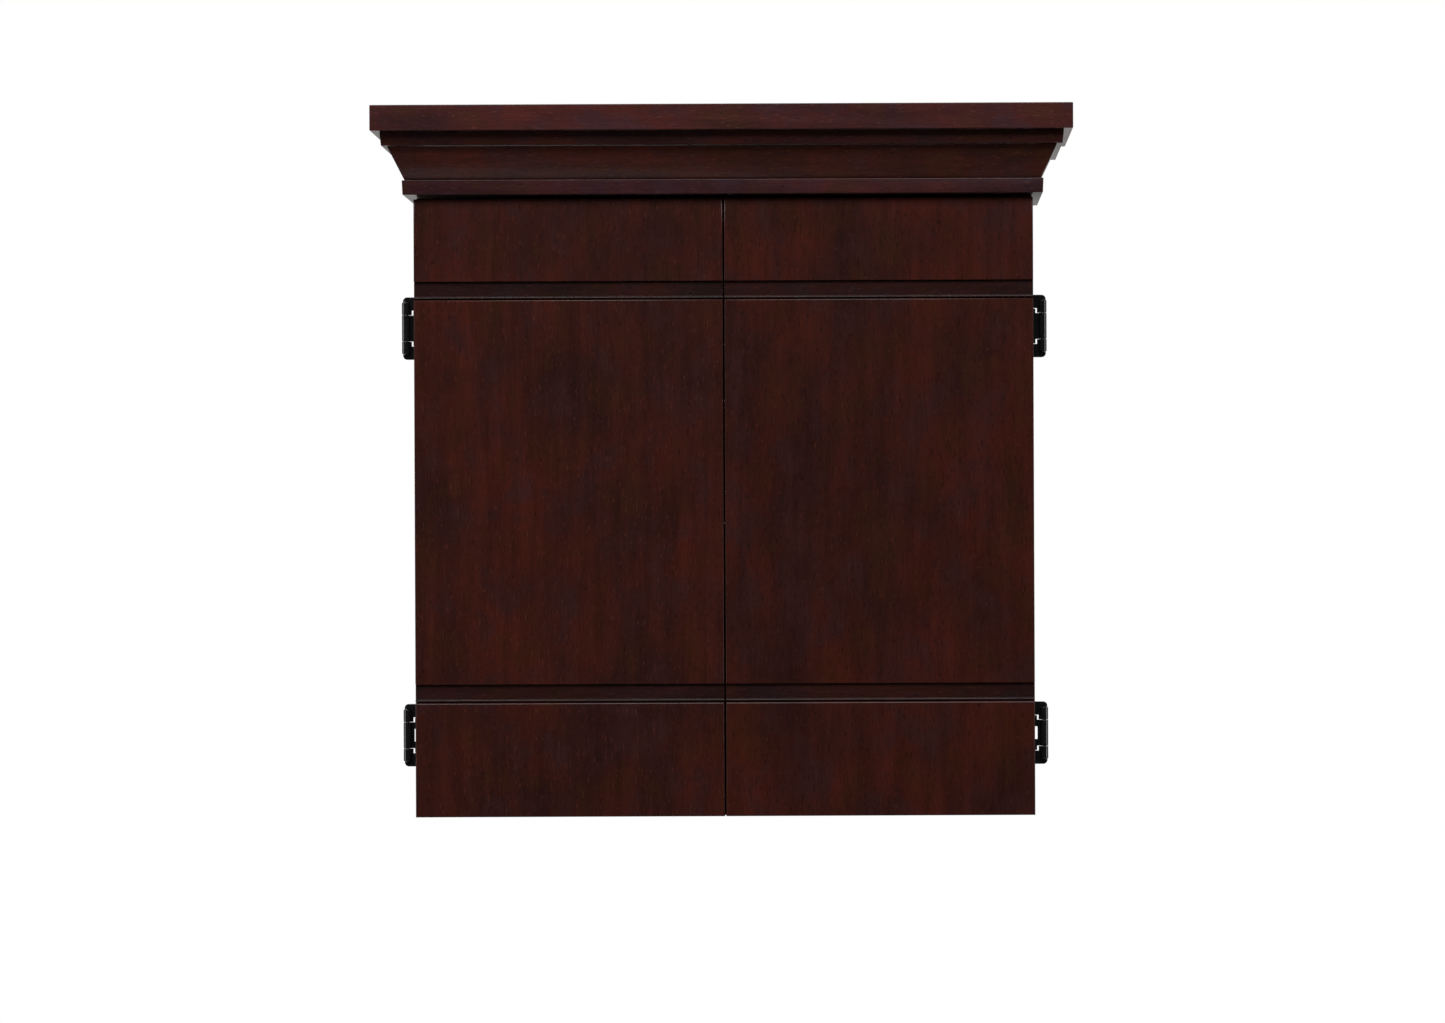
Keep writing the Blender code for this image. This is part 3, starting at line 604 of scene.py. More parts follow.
bright_wire = steel("bright_wire", (0.60, 0.60, 0.61), 0.30, 2600.0)
spider = Recipe("wire_spider", wire_radius="Float", depth="Float", spokes="Int",
                inner_radius="Float", outer_radius="Float")
ring_place = spider.add("GeometryNodeInputPosition")
ring_radius = spider.add("ShaderNodeSeparateXYZ", {0: ring_place.outputs[0]})
kept = spider.add("GeometryNodeStoreNamedAttribute",
                  {"Geometry": spider.entry.outputs["Geometry"], "Name": "ring",
                   "Value": ring_radius.outputs["X"]}, data_type="FLOAT", domain="POINT")
homeward = spider.add("ShaderNodeVectorMath", {0: ring_place.outputs[0], 1: (-1.0, -1.0, -1.0)},
                      operation="MULTIPLY")
centred = spider.add("GeometryNodeSetPosition", {"Geometry": kept.outputs[0],
                                                 "Offset": homeward.outputs[0]})
hoop = spider.add("GeometryNodeCurvePrimitiveCircle", {"Resolution": 160, "Radius": 1.0})
ring_size = spider.add("GeometryNodeInputNamedAttribute", {"Name": "ring"},
                       data_type="FLOAT")
hoops = spider.add("GeometryNodeInstanceOnPoints",
                   {"Points": centred.outputs[0], "Instance": hoop.outputs[0],
                    "Rotation": (math.radians(90), 0.0, 0.0),
                    "Scale": ring_size.outputs["Attribute"]})
start = spider.add("ShaderNodeCombineXYZ", {"X": spider.size("inner_radius")})
finish_end = spider.add("ShaderNodeCombineXYZ", {"X": spider.size("outer_radius")})
spoke = spider.add("GeometryNodeCurvePrimitiveLine",
                   {"Start": start.outputs[0], "End": finish_end.outputs[0]})
row = spider.add("GeometryNodeMeshLine", {"Count": spider.size("spokes"),
                                          "Offset": (0.0, 0.0, 0.0)})
place_in_row = spider.add("GeometryNodeInputIndex")
turn = spider.add("ShaderNodeMath", {0: place_in_row.outputs[0], 1: spider.size("spokes")},
                  operation="DIVIDE")
turn = spider.add("ShaderNodeMath", {0: turn.outputs[0], 1: math.tau,
                                     2: math.pi / SECTORS}, operation="MULTIPLY_ADD")
tilt = spider.add("ShaderNodeCombineXYZ", {"Y": turn.outputs[0]})
spokes = spider.add("GeometryNodeInstanceOnPoints",
                    {"Points": row.outputs[0], "Instance": spoke.outputs[0],
                     "Rotation": tilt.outputs[0]})
laid = spider.add("GeometryNodeRealizeInstances",
                  {0: spider.joined(hoops.outputs[0], spokes.outputs[0])})
even = spider.add("GeometryNodeSetCurveRadius", {0: laid.outputs[0], "Radius": 1.0})
round_wire = spider.add("GeometryNodeCurvePrimitiveCircle",
                        {"Resolution": 8, "Radius": spider.size("wire_radius")})
drawn = spider.add("GeometryNodeCurveToMesh",
                   {"Curve": even.outputs[0], "Profile Curve": round_wire.outputs[0],
                    "Fill Caps": True})
out_of_wall = spider.add("ShaderNodeMath", {0: spider.size("depth"), 1: -1.0},
                         operation="MULTIPLY")
forward = spider.add("ShaderNodeCombineXYZ", {"Y": out_of_wall.outputs[0]})
set_out = spider.add("GeometryNodeTransform", {0: drawn.outputs[0],
                                               "Translation": forward.outputs[0]})
smooth = spider.add("GeometryNodeSetShadeSmooth", {0: set_out.outputs[0]})
spider.finished(smooth.outputs[0], bright_wire)

low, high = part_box("dartboard_spider")
WIRE_RADIUS = 0.00065
wire_depth = -high.y + WIRE_RADIUS
OUT = (0.0, -1.0, 0.0)
ring_points = [((radius, 0.0, 0.0), OUT) for key, radius in RINGS.items() if key != "bull"]
wires = spider.made("spider_wires", ring_points, wire_radius=WIRE_RADIUS, depth=wire_depth,
                    spokes=SECTORS, inner_radius=RINGS["outer_bull"],
                    outer_radius=RINGS["double_out"])
install("spider_wires", wires, bright_wire, "board_steel", "dartboard_spider")
bull = spider.made("bull_wire", [((RINGS["bull"], 0.0, 0.0), OUT)], wire_radius=WIRE_RADIUS,
                   depth=wire_depth, spokes=0, inner_radius=0.0, outer_radius=0.0)
install("bull_wire", bull, bright_wire, "board_steel", "dartboard_bull_ring")

# ---------------------------------------------------------------------------
# The number ring: a hoop of round wire with the twenty numbers bent from
# thinner wire and spot-welded inside it. Four flat clips hold it to the board.
DIGIT_TALL = 0.0225
DIGIT_PITCH = 0.0145


def bow(x, y, wide, tall, start, end, steps=12):
    """Points along part of an oval, in digit heights."""
    turns = [math.radians(start + (end - start) * step / steps)
             for step in range(steps + 1)]
    return [(x + wide * math.cos(turn), y + tall * math.sin(turn)) for turn in turns]


def run_line(curve, spots):
    """Add a line through some points to a curve, closed where its ends meet."""
    closed = math.dist(spots[0], spots[-1]) < 1e-7
    spots = spots[:-1] if closed else spots
    spline = curve.splines.new("POLY")
    spline.points.add(len(spots) - 1)
    spline.use_cyclic_u = closed
    for point, spot in zip(spline.points, spots):
        point.co = (*spot, 1.0)


six = [bow(0.34, -0.19, 0.62, 0.69, 118, 180) + bow(0.0, -0.19, 0.28, 0.31, 180, 540, 18)]
DIGITS = {
    "0": [bow(0.0, 0.0, 0.28, 0.5, 90, 450, 24)],
    "1": [[(-0.16, 0.28), (0.04, 0.5), (0.04, -0.5)]],
    "2": [bow(0.0, 0.22, 0.28, 0.28, 165, -32) + [(-0.28, -0.5), (0.30, -0.5)]],
    "3": [bow(0.0, 0.24, 0.26, 0.26, 150, -90) + bow(0.0, -0.24, 0.29, 0.26, 90, -150)],
    "4": [[(0.14, -0.5), (0.14, 0.5), (-0.30, -0.18), (0.32, -0.18)]],
    "5": [[(0.26, 0.5), (-0.18, 0.5)] + bow(-0.01, -0.18, 0.29, 0.32, 126, -150)],
    "6": six,
    "7": [[(-0.28, 0.5), (0.28, 0.5), (-0.08, -0.5)]],
    "8": [bow(0.0, 0.26, 0.24, 0.24, -90, 270, 18) + bow(0.0, -0.24, 0.28, 0.26, 90, 450, 18)],
    "9": [[(-x, -y) for x, y in stroke] for stroke in six],
}
ORDER = (20, 1, 18, 4, 13, 6, 10, 15, 2, 17, 3, 19, 7, 16, 8, 11, 14, 9, 12, 5)

low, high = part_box("dartboard_number_ring")
HOOP_WIRE = 0.0011
NUMBER_WIRE = 0.0008
hoop_radius = (high.x - low.x) / 2 - HOOP_WIRE
hoop_depth = (low.y + high.y) / 2
digit_circle = hoop_radius - HOOP_WIRE - DIGIT_TALL / 2
wire = bpy.data.curves.new("number_wire", "CURVE")
wire.dimensions = "3D"
wire.bevel_depth = NUMBER_WIRE
wire.bevel_resolution = 1
wire.use_fill_caps = True
for sector, number in enumerate(ORDER):
    turn = math.radians(90 - sector * 360 / SECTORS)
    outward = Vector((math.cos(turn), 0.0, math.sin(turn)))
    upright = outward if outward.z > -0.1 else -outward
    across = Vector((upright.z, 0.0, -upright.x))
    glyphs = str(number)
    for index, glyph in enumerate(glyphs):
        aside = DIGIT_PITCH * (index - (len(glyphs) - 1) / 2)
        for stroke in DIGITS[glyph]:
            spots = [outward * digit_circle + across * (aside + x * DIGIT_TALL)
                     + upright * y * DIGIT_TALL for x, y in stroke]
            run_line(wire, [(at.x, hoop_depth, at.z) for at in spots])
bent = bmesh.new()
bent.from_mesh(taken(put("number_wire", wire)))
bmesh.ops.remove_doubles(bent, verts=bent.verts, dist=1e-6)

tube = [(hoop_radius + HOOP_WIRE * math.cos(turn), -hoop_depth + HOOP_WIRE * math.sin(turn))
        for turn in (math.tau * step / 10 for step in range(10))]
bent.from_mesh(as_mesh("number_hoop", turned(tube, closed=True)))
CLIP = Vector((0.0085, 0.0008, 0.0050))
on_hoop = Matrix.Translation((hoop_radius, hoop_depth - HOOP_WIRE - CLIP.y / 2, 0.0))
for clip in range(4):
    turn = Matrix.Rotation(math.radians(45 + 90 * clip), 4, "Y")
    bmesh.ops.create_cube(bent, size=1.0,
                          matrix=turn @ on_hoop @ Matrix.Diagonal((*CLIP, 1.0)))
number_paint = Finish("white_wire_enamel", Roughness=0.38)
WHITE_ENAMEL, BARE_STEEL = (0.600, 0.600, 0.580), (0.230, 0.225, 0.220)
chip_mark = number_paint.noise(number_paint.place(), 260.0, 4.0, 0.65)
number_paint.colour(number_paint.blend(number_paint.span(chip_mark, 0.66, 0.72),
                                       WHITE_ENAMEL, BARE_STEEL))
install("number_ring", shaded("number_ring", bent, 50.0), number_paint.material,
        "board_steel", "dartboard_number_ring")

# ---------------------------------------------------------------------------
# Behind the board: the screw in its back hangs in a slotted steel bracket, and
# three rubber pads keep it off the cork.


def carry(node, finish):
    """Give a CAD node that stays in view its finish."""
    piece = frame["nodes"][node]
    if piece.material_slots:
        piece.material_slots[0].material = finish
    else:
        piece.data.materials.append(finish)


zinc = steel("zinc_plate", (0.52, 0.53, 0.56), 0.36, 1400.0)
for node in ("dartboard_hanging_screw", "dartboard_bracket"):
    carry(node, zinc)
rubber = Finish("moulded_rubber", Roughness=0.78, Specular_IOR_Level=0.35)
rubber_place = rubber.place()
RUBBER_BLACK, RUBBER_BLOOM = (0.012, 0.012, 0.013), (0.030, 0.030, 0.031)
bloom = rubber.noise(rubber_place, 140.0, 4.0, 0.6)
rubber.colour(rubber.blend(bloom, RUBBER_BLACK, RUBBER_BLOOM))
rubber.relief(rubber.noise(rubber_place, 1200.0, 2.0), 0.0001, 0.5)
for index in (1, 2, 3):
    carry(f"board_standoff_pad_{index}", rubber.material)

# ---------------------------------------------------------------------------
# The doors: plain slabs of upright grain with a shallow housing across the
# top and another low down. A thin strip with a rounded bead along its lower
# edge is glued into each housing, its face sunk behind the door's.
HOUSING_TALL = 0.018
STRIP_PLAY = 0.0003             # between a strip and its housing
SLAB_ROUND = 0.0024             # the widest rounding, of which each edge has a share
LOWER_LIP = 0.85
UPPER_LIP = 0.15
OUTER_EDGE = 0.65
BEAD_DEEP = 0.0019
BEAD_TALL = 0.0013


def drawn_out(outline, along):
    """A solid from a flat outline of points, carried along a line."""
    shape = bmesh.new()
    near = [shape.verts.new(point) for point in outline]
    far = [shape.verts.new(point.co + Vector(along)) for point in near]
    for ends in (near, far):
        shape.faces.new(ends)
    for start, end, past, beside in zip(near, near[1:] + near[:1], far[1:] + far[:1], far):
        shape.faces.new((start, end, past, beside))
    bmesh.ops.recalc_face_normals(shape, faces=shape.faces)
    return shape


def swept(section, low, high):
    """A solid with one section in depth and height, from one X to another."""
    return drawn_out([(low, depth, height) for depth, height in section],
                     (high - low, 0.0, 0.0))


def door_slab(word):
    """A door with its two housings, edges rounded most at the outside."""
    low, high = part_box(f"{word}_door_panel")
    front, back = low.y, high.y
    section = [(back, high.z), (front, high.z)]
    lips = {}
    for level in ("upper", "lower"):
        strip_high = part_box(f"{word}_{level}_trim")[1]
        top = strip_high.z + STRIP_PLAY
        bottom = top - HOUSING_TALL
        floor_of = strip_high.y + STRIP_PLAY
        section += [(front, top), (floor_of, top), (floor_of, bottom), (front, bottom)]
        lips[round(top, 5)] = UPPER_LIP
        lips[round(bottom, 5)] = LOWER_LIP
    section += [(front, low.z), (back, low.z)]
    shape = swept(section, low.x, high.x)

    def share(start, end):
        """How much of the widest rounding an edge between two corners has."""
        across = abs(start.x - end.x) > 0.1
        level = round(start.z, 5)
        if across and abs(start.y - front) < 1e-5 and level in lips:
            return lips[level]
        outer = min(abs(start.z - low.z), abs(start.z - high.z)) < 1e-5
        upright = abs(start.z - end.z) > 0.03
        return OUTER_EDGE if upright or (across and outer) else 0.0

    weight = shape.edges.layers.float.new("bevel_weight_edge")
    for edge in shape.edges:
        edge[weight] = share(*(corner.co for corner in edge.verts))
    rounded = bmesh.new()
    rounded.from_mesh(eased(f"{word}_rounded", shape, SLAB_ROUND, 5, weighted=True))
    return shaded(f"{word}_door_slab", rounded)


DOOR_STAIN = {"left": (0.94, 0.97, 0.93), "right": (0.93, 0.94, 0.88)}
STRIP_STAIN = (0.54, 0.76, 0.86)
for word in ("left", "right"):
    slab = door_slab(word)
    lay_grain(slab, "z", DOOR_STAIN[word])
    install(f"{word}_door_slab", slab, lacquer, "mahogany_lacquer", f"{word}_door_panel")
    for level in ("upper", "lower"):
        low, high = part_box(f"{word}_{level}_trim")
        face = low.y + BEAD_DEEP
        section = [(high.y, low.z), (high.y, high.z), (face, high.z)]
        for step in range(13):
            turn = math.radians(90 - 15 * step)
            section.append((face - BEAD_DEEP * math.cos(turn),
                            low.z + BEAD_TALL * (1.0 + math.sin(turn))))
        strip = eased(f"{word}_{level}_strip", swept(section, low.x, high.x), 0.0003, 2)
        lay_grain(strip, "x", STRIP_STAIN)
        install(f"{word}_{level}_strip", strip, lacquer, "mahogany_lacquer",
                f"{word}_{level}_trim")

# ---------------------------------------------------------------------------
# What the doors carry inside: a writing panel in a mitred frame, painted with
# the numbers and lines of a scoring grid, and a slotted ledge for three darts.
slate = Finish("matt_chalkboard", Roughness=0.85, Specular_IOR_Level=0.3)
slate_place = slate.place()
CLEAN_SLATE, CHALK_DUST = (0.0125, 0.0140, 0.0135), (0.105, 0.110, 0.108)
haze = slate.noise(slate_place, (9.0, 9.0, 5.0), 5.0, 0.62)
wipe = slate.noise(slate_place, (26.0, 26.0, 160.0), 4.0, 0.6)
dusted = slate.maths("MULTIPLY", slate.span(haze, 0.42, 0.72, 0.05, 0.55),
                     slate.span(wipe, 0.30, 0.75))
slate.colour(slate.blend(dusted, CLEAN_SLATE, CHALK_DUST))
slate.relief(slate.noise(slate_place, 1500.0, 2.0), 0.0001, 0.35)
score_paint = Finish("scoring_paint", Roughness=0.75)
WORN_PAINT, FRESH_PAINT = (0.120, 0.120, 0.115), (0.640, 0.640, 0.610)
worn = score_paint.noise(score_paint.place(), 330.0, 4.0, 0.65)
score_paint.colour(score_paint.blend(score_paint.span(worn, 0.34, 0.52),
                                     WORN_PAINT, FRESH_PAINT))
FIGURES = ("20", "19", "18", "17", "16", "15")
ROW_PITCH = 0.050
HALF_ROWS = (len(FIGURES) + 1) / 2      # a row for each figure and one for the bull
GRID_MARGIN = 0.012
COLUMN_HALF = 0.030
FIGURE_TALL = 0.021
FIGURE_PITCH = 0.68 * FIGURE_TALL
BULL_MARKS = (0.0042, 0.0098)
STROKE = 0.0007
PAINT_THICK = 0.10              # of the strokes' width


def drawn_lines(name, strokes, depth):
    """Flat painted strokes on a panel, from lists of (x, z) points."""
    pen = bpy.data.curves.new(name, "CURVE")
    pen.dimensions = "3D"
    pen.bevel_depth = STROKE
    pen.bevel_resolution = 1
    pen.use_fill_caps = True
    for stroke in strokes:
        run_line(pen, [(x, 0.0, z) for x, z in stroke])
    mesh = taken(put(name, pen))
    mesh.transform(Matrix.Translation((0.0, depth, 0.0))
                   @ Matrix.Diagonal((1.0, PAINT_THICK, 1.0, 1.0)))
    return mesh


for word in ("left", "right"):
    door = f"{word}_door"
    low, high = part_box(f"{word}_scoreboard")
    panel = eased(f"{word}_writing_panel", box_shape(low, high), 0.0003, 2)
    install(f"{word}_writing_panel", panel, slate.material, "chalkboard",
            f"{word}_scoreboard")
    middle = (low.x + high.x) / 2
    centre = (low.z + high.z) / 2
    strokes = []
    for row, figure in enumerate(FIGURES):
        level = centre + ROW_PITCH * (HALF_ROWS - 0.5 - row)
        for index, glyph in enumerate(figure):
            aside = FIGURE_PITCH * (index - 0.5)
            for stroke in DIGITS[glyph]:
                strokes.append([(middle - aside - x * FIGURE_TALL, level + z * FIGURE_TALL)
                                for x, z in stroke])
    bull_level = centre - ROW_PITCH * (HALF_ROWS - 0.5)
    for radius in BULL_MARKS:
        turns = [math.tau * step / 24 for step in range(25)]
        strokes.append([(middle + radius * math.cos(turn),
                         bull_level + radius * math.sin(turn)) for turn in turns])
    for line in range(len(FIGURES) + 2):
        level = centre + ROW_PITCH * (HALF_ROWS - line)
        strokes.append([(low.x + GRID_MARGIN, level), (high.x - GRID_MARGIN, level)])
    for aside in (-COLUMN_HALF, COLUMN_HALF):
        strokes.append([(middle + aside, centre - ROW_PITCH * HALF_ROWS),
                        (middle + aside, centre + ROW_PITCH * HALF_ROWS)])
    install(f"{word}_scoring_grid", drawn_lines(f"{word}_scoring_grid", strokes, high.y),
            score_paint.material, "chalkboard", body=door)

    frame_low, frame_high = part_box(f"{word}_scoreboard_frame")
    inner = [(low.x, low.z), (high.x, low.z), (high.x, high.z), (low.x, high.z)]
    outer = [(frame_low.x, frame_low.z), (frame_high.x, frame_low.z),
             (frame_high.x, frame_high.z), (frame_low.x, frame_high.z)]
    for index, side_name in enumerate(("bottom", "outer", "top", "inner")):
        after = (index + 1) % 4
        outline = [(x, frame_low.y, z) for x, z in
                   (outer[index], outer[after], inner[after], inner[index])]
        shape = drawn_out(outline, (0.0, frame_high.y - frame_low.y, 0.0))
        strip = eased(f"{word}_frame_{side_name}", shape, 0.0009)
        lay_grain(strip, "x" if index % 2 == 0 else "z", (1.0, 1.0, 1.0))
        stands_for = [f"{word}_scoreboard_frame"] if index == 0 else []
        install(f"{word}_frame_{side_name}", strip, lacquer, "mahogany_lacquer",
                *stands_for, body=door)
    joinery(f"{word}_dart_rack", "x", 0.0008)

# ---------------------------------------------------------------------------
# The hinges: pressed steel leaves, nested one inside the other, with rolled
# knuckles on a headed pin. They are plated glossy black and sit clear of the
# wood, so light shows through the window between the two leaves.
black_plate = enamelled("black_plating", (0.0040, 0.0040, 0.0045), 0.13, 1600.0)
PLATE = 0.0014
PRESSED_EDGE = 0.00030
ROLL = 0.0039
ROLL_BORE = 0.0020
ROLL_OUT = 0.0098               # of the hinge line, beyond the door's edge
MIDDLE_ROLL = 0.0128
END_ROLL = (0.0131, 0.0252)
CASE_LEAF = {"half": 0.0308, "inner": 0.0140, "outer": 0.0130, "corner": 0.0042}
WINDOW = {"half": 0.0176, "inner": 0.0108, "outer": 0.0043}
DOOR_LEAF = {"half": 0.0172, "inner": 0.0101, "outer": 0.0028}
SLOT = {"half": 0.0062, "inner": 0.0028, "upper": 0.0006, "lower": 0.0032}
HOLE = 0.0027
CASE_HOLE = (-0.0070, 0.0240)
DOOR_HOLE = (-0.0066, 0.0115)


def circle(middle, radius):
    """A round outline, in twenty-four steps."""
    turns = [math.tau * step / 24 for step in range(24)]
    return [(middle[0] + radius * math.cos(turn), middle[1] + radius * math.sin(turn))
            for turn in turns]


def pressed(name, loops, back):
    """A pressed plate with eased edges and holes, as a shape, from (x, z) outlines."""
    outline = bpy.data.curves.new(name, "CURVE")
    outline.dimensions = "2D"
    outline.fill_mode = "BOTH"
    outline.extrude = PLATE / 2 - PRESSED_EDGE
    outline.bevel_depth = PRESSED_EDGE
    outline.offset = -PRESSED_EDGE
    outline.bevel_resolution = 2
    for loop in loops:
        spline = outline.splines.new("POLY")
        spline.points.add(len(loop) - 1)
        spline.use_cyclic_u = True
        for point, (x, z) in zip(spline.points, loop):
            point.co = (x, z, 0.0, 1.0)
    mesh = taken(put(name, outline))
    mesh.transform(Matrix.Translation((0.0, back - PLATE / 2, 0.0))
                   @ Matrix.Rotation(math.radians(90), 4, "X"))
    shape = bmesh.new()
    shape.from_mesh(mesh)
    bmesh.ops.remove_doubles(shape, verts=shape.verts, dist=2e-6)
    bmesh.ops.recalc_face_normals(shape, faces=shape.faces)
    return shape


def roll_on(shape, place, low, high):
    """Add a rolled knuckle about an upright line, its ends eased in two steps."""
    lip = 0.00045
    step = 0.3 * lip
    section = [(ROLL_BORE, -high), (ROLL - lip, -high), (ROLL - step, -high + step),
               (ROLL, -high + lip), (ROLL, -low - lip), (ROLL - step, -low - step),
               (ROLL - lip, -low), (ROLL_BORE, -low)]
    tube = turned(section, 40, closed=True)
    tube.transform(Matrix.Translation((*place, 0.0))
                   @ Matrix.Rotation(math.radians(90), 4, "X"))
    shape.from_mesh(as_mesh("roll", tube))


def quarter(x, z, radius, start):
    """A rounded corner, in six steps."""
    turns = [math.radians(start + 15 * step) for step in range(7)]
    return [(x + radius * math.cos(turn), z + radius * math.sin(turn)) for turn in turns]


def case_leaf_loops():
    """The C-shaped leaf on the case, its middle left open for the door's leaf."""
    half, inner, outer, corner = CASE_LEAF.values()
    near, far = END_ROLL
    edge = [(-inner, -half), *quarter(outer - corner, corner - half, corner, -90),
            (outer, -far), (ROLL_OUT, -far), (ROLL_OUT, -near), (WINDOW["outer"], -near),
            (WINDOW["outer"], -WINDOW["half"]), (-WINDOW["inner"], -WINDOW["half"])]
    loop = edge + [(x, -z) for x, z in reversed(edge)]
    return [loop, *(circle((CASE_HOLE[0], way * CASE_HOLE[1]), HOLE) for way in (-1, 1))]


def door_leaf_loops(level):
    """The nested leaf on the door, with its neck to the middle knuckle and a slot."""
    half, inner, outer = DOOR_LEAF.values()
    edge = [(-inner, -half), (outer, -half), (outer, -MIDDLE_ROLL),
            (ROLL_OUT, -MIDDLE_ROLL)]
    loop = edge + [(x, -z) for x, z in reversed(edge)]
    slot = [(-SLOT["inner"], -SLOT["half"]), (SLOT[level], -SLOT["half"]),
            (SLOT[level], SLOT["half"]), (-SLOT["inner"], SLOT["half"])]
    return [loop, slot, *(circle((DOOR_HOLE[0], way * DOOR_HOLE[1]), HOLE)
                          for way in (-1, 1))]


screw_spots = {"cabinet": [], "left_door": [], "right_door": []}
for word, side in (("left", -1), ("right", 1)):
    door_low, door_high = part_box(f"{word}_door_panel")
    door_edge = door_low.x if side < 0 else door_high.x
    for level in ("upper", "lower"):
        name = f"{word}_{level}_hinge"
        low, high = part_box(f"{name}_case_leaf")
        centre = (low.z + high.z) / 2
        hinge_line = (door_edge + side * ROLL_OUT, low.y + ROLL)
        for part, loops, rolls in (
                ("case_leaf", case_leaf_loops(), (END_ROLL, (-END_ROLL[1], -END_ROLL[0]))),
                ("door_leaf", door_leaf_loops(level), ((-MIDDLE_ROLL, MIDDLE_ROLL),))):
            placed = [[(door_edge + side * x, centre + z) for x, z in loop]
                      for loop in loops]
            shape = pressed(f"{name}_{part}_plate", placed, high.y)
            for bottom, top in rolls:
                roll_on(shape, hinge_line, centre + bottom, centre + top)
            leaf = shaded(f"{name}_{part}_pressing", shape, 50.0)
            install(f"{name}_{part}_pressing", leaf, black_plate, "black_hinge",
                    f"{name}_{part}")
        carry(f"{name}_pin", black_plate)
        for way in (-1, 1):
            x, z = CASE_HOLE
            screw_spots["cabinet"].append(
                ((door_edge + side * x, high.y - PLATE, centre + way * z), (0, -1, 0)))
            x, z = DOOR_HOLE
            screw_spots[f"{word}_door"].append(
                ((door_edge + side * x, high.y, centre + way * z), (0, 1, 0)))

# ---------------------------------------------------------------------------
# The catches: a moulded body under the case's top with a magnet between two
# steel poles, and a zinc-plated striking plate on each door.
moulding = Finish("catch_moulding", Roughness=0.5, Specular_IOR_Level=0.4)
moulding_place = moulding.place()
DARK_MOULDING, BROWN_MOULDING = (0.040, 0.018, 0.012), (0.066, 0.030, 0.020)
flow = moulding.noise(moulding_place, (90.0, 90.0, 300.0), 4.0, 0.6)
moulding.colour(moulding.blend(flow, DARK_MOULDING, BROWN_MOULDING))
moulding.relief(moulding.noise(moulding_place, 2200.0, 2.0), 0.00006, 0.5)
POLE = Vector((0.028, 0.006, 0.0012))
POLE_PROUD = 0.0008
POLE_INSET = 0.0030
CATCH_SCREW_INSET = 0.005
STRIKE_SCREW_INSET = 0.006
STRIKE_SCREW_UP = 0.0030
FLANGE_MIDDLE = 0.027           # of the bracket, from the board's middle
FLANGE_SHEET = 0.0015
FLANGE_SCREW_INSET = 0.012
for word in ("left", "right"):
    low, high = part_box(f"{word}_magnetic_catch")
    body = box_shape((low.x, low.y + POLE_PROUD, low.z), high)
    install(f"{word}_catch_body", eased(f"{word}_catch_body", body, 0.0009),
            moulding.material, "catch_plastic", f"{word}_magnetic_catch")
    middle = (low.x + high.x) / 2
    poles = bmesh.new()
    for level in (low.z + POLE_INSET, high.z - POLE_INSET):
        spot = Matrix.Translation((middle, low.y + POLE.y / 2, level))
        bmesh.ops.create_cube(poles, size=1.0, matrix=spot @ Matrix.Diagonal((*POLE, 1.0)))
    install(f"{word}_catch_poles", eased(f"{word}_catch_poles", poles, 0.0002, 2), zinc,
            "zinc_steel", body=BODY_OF[f"{word}_magnetic_catch"])
    screw_spots["cabinet"] += [((x, (low.y + high.y) / 2, low.z), (0, 0, -1))
                               for x in (low.x + CATCH_SCREW_INSET,
                                         high.x - CATCH_SCREW_INSET)]
    low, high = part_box(f"{word}_strike_plate")
    plate = eased(f"{word}_striking_plate", box_shape(low, high), 0.0003, 2)
    install(f"{word}_striking_plate", plate, zinc, "zinc_steel", f"{word}_strike_plate")
    screw_spots[f"{word}_door"] += [((x, high.y, low.z + STRIKE_SCREW_UP), (0, 1, 0))
                                    for x in (low.x + STRIKE_SCREW_INSET,
                                              high.x - STRIKE_SCREW_INSET)]
low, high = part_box("dartboard_bracket")
screw_spots["cabinet"] += [((x, high.y - FLANGE_SHEET, z), (0, -1, 0))
                           for x in (-FLANGE_MIDDLE, FLANGE_MIDDLE)
                           for z in (low.z + FLANGE_SCREW_INSET,
                                     high.z - FLANGE_SCREW_INSET)]

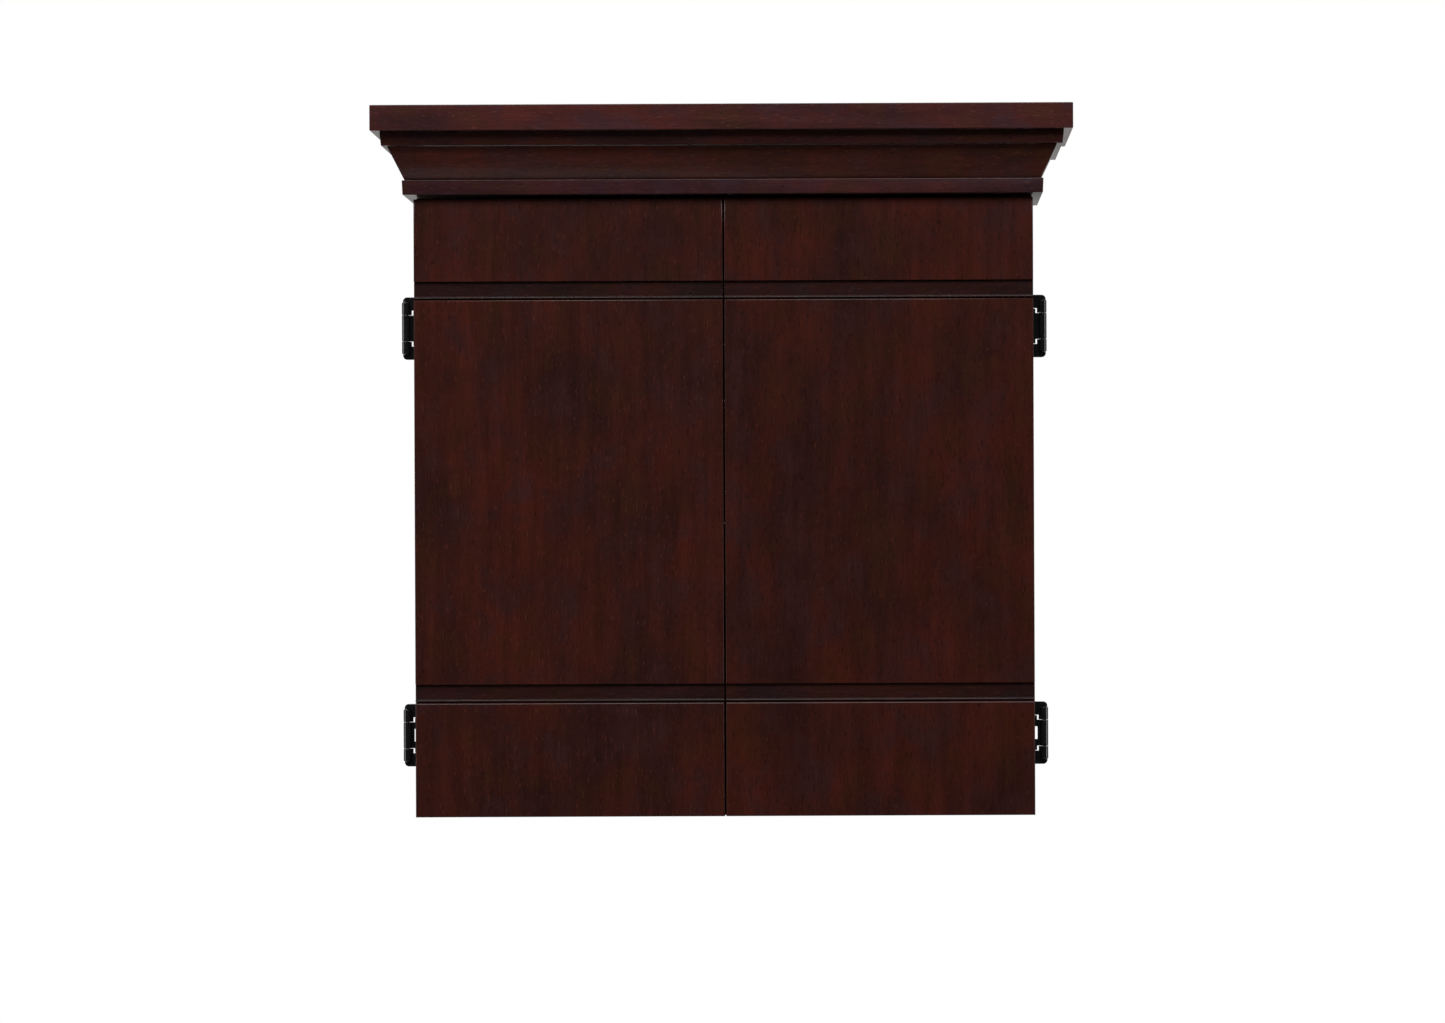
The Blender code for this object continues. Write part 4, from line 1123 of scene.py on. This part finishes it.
# ---------------------------------------------------------------------------
# The screws: small countersunk steel heads with a cross recess, four to each
# hinge and the rest in the catches, the striking plates and the bracket.
screws = Recipe("countersunk_screw", head_radius="Float", head_depth="Float",
                recess_length="Float", recess_width="Float", proud="Float")
head = screws.add("GeometryNodeMeshCone",
                  {"Vertices": 24, "Radius Top": screws.size("head_radius"),
                   "Depth": screws.size("head_depth")})
neck = screws.add("ShaderNodeMath", {0: screws.size("head_radius"), 1: 0.6},
                  operation="MULTIPLY")
screws.feed(head, "Radius Bottom", neck.outputs[0])
arms = []
for order in (("recess_length", "recess_width"), ("recess_width", "recess_length")):
    block = screws.add("ShaderNodeCombineXYZ", {"X": screws.size(order[0]),
                                                "Y": screws.size(order[1]),
                                                "Z": screws.size("head_depth")})
    bar = screws.add("GeometryNodeMeshCube", {"Size": block.outputs[0]})
    arms.append(bar.outputs["Mesh"])
top = screws.add("ShaderNodeMath", {0: screws.size("head_depth"), 1: 1.1},
                 operation="MULTIPLY")
lift = screws.add("ShaderNodeCombineXYZ", {"Z": top.outputs[0]})
cross = screws.add("GeometryNodeTransform", {0: screws.joined(*arms),
                                             "Translation": lift.outputs[0]})
cut = screws.add("GeometryNodeMeshBoolean",
                 {0: head.outputs["Mesh"], "Self Intersection": True},
                 operation="DIFFERENCE", solver="EXACT")
screws.feed(cut, 1, cross.outputs[0])
drop = screws.add("ShaderNodeMath", {0: screws.size("proud"), 1: screws.size("head_depth")},
                  operation="SUBTRACT")
sunk = screws.add("ShaderNodeCombineXYZ", {"Z": drop.outputs[0]})
seated = screws.add("GeometryNodeTransform", {0: cut.outputs[0],
                                              "Translation": sunk.outputs[0]})
facing = screws.add("GeometryNodeInputNamedAttribute", {"Name": "facing"},
                    data_type="FLOAT_VECTOR")
turned_to = screws.add("FunctionNodeAlignRotationToVector",
                       {"Vector": facing.outputs["Attribute"]}, axis="Z")
chance = screws.add("FunctionNodeRandomValue", {"Seed": 7}, data_type="FLOAT")
chance.inputs[3].default_value = math.radians(80)
spin = screws.add("ShaderNodeCombineXYZ", {"Z": chance.outputs[1]})
driven = screws.add("FunctionNodeRotateRotation", {0: turned_to.outputs[0],
                                                   1: spin.outputs[0]},
                    rotation_space="LOCAL")
set_in = screws.add("GeometryNodeInstanceOnPoints",
                    {"Points": screws.entry.outputs["Geometry"],
                     "Instance": seated.outputs[0], "Rotation": driven.outputs[0]})
screws.finished(set_in.outputs[0], zinc)
for body, spots in screw_spots.items():
    heads = screws.made(f"{body}_screws", spots, head_radius=0.0025, head_depth=0.0013,
                        recess_length=0.0028, recess_width=0.0006, proud=0.0001)
    install(f"{body}_screws", heads, zinc, "zinc_steel", body=body)
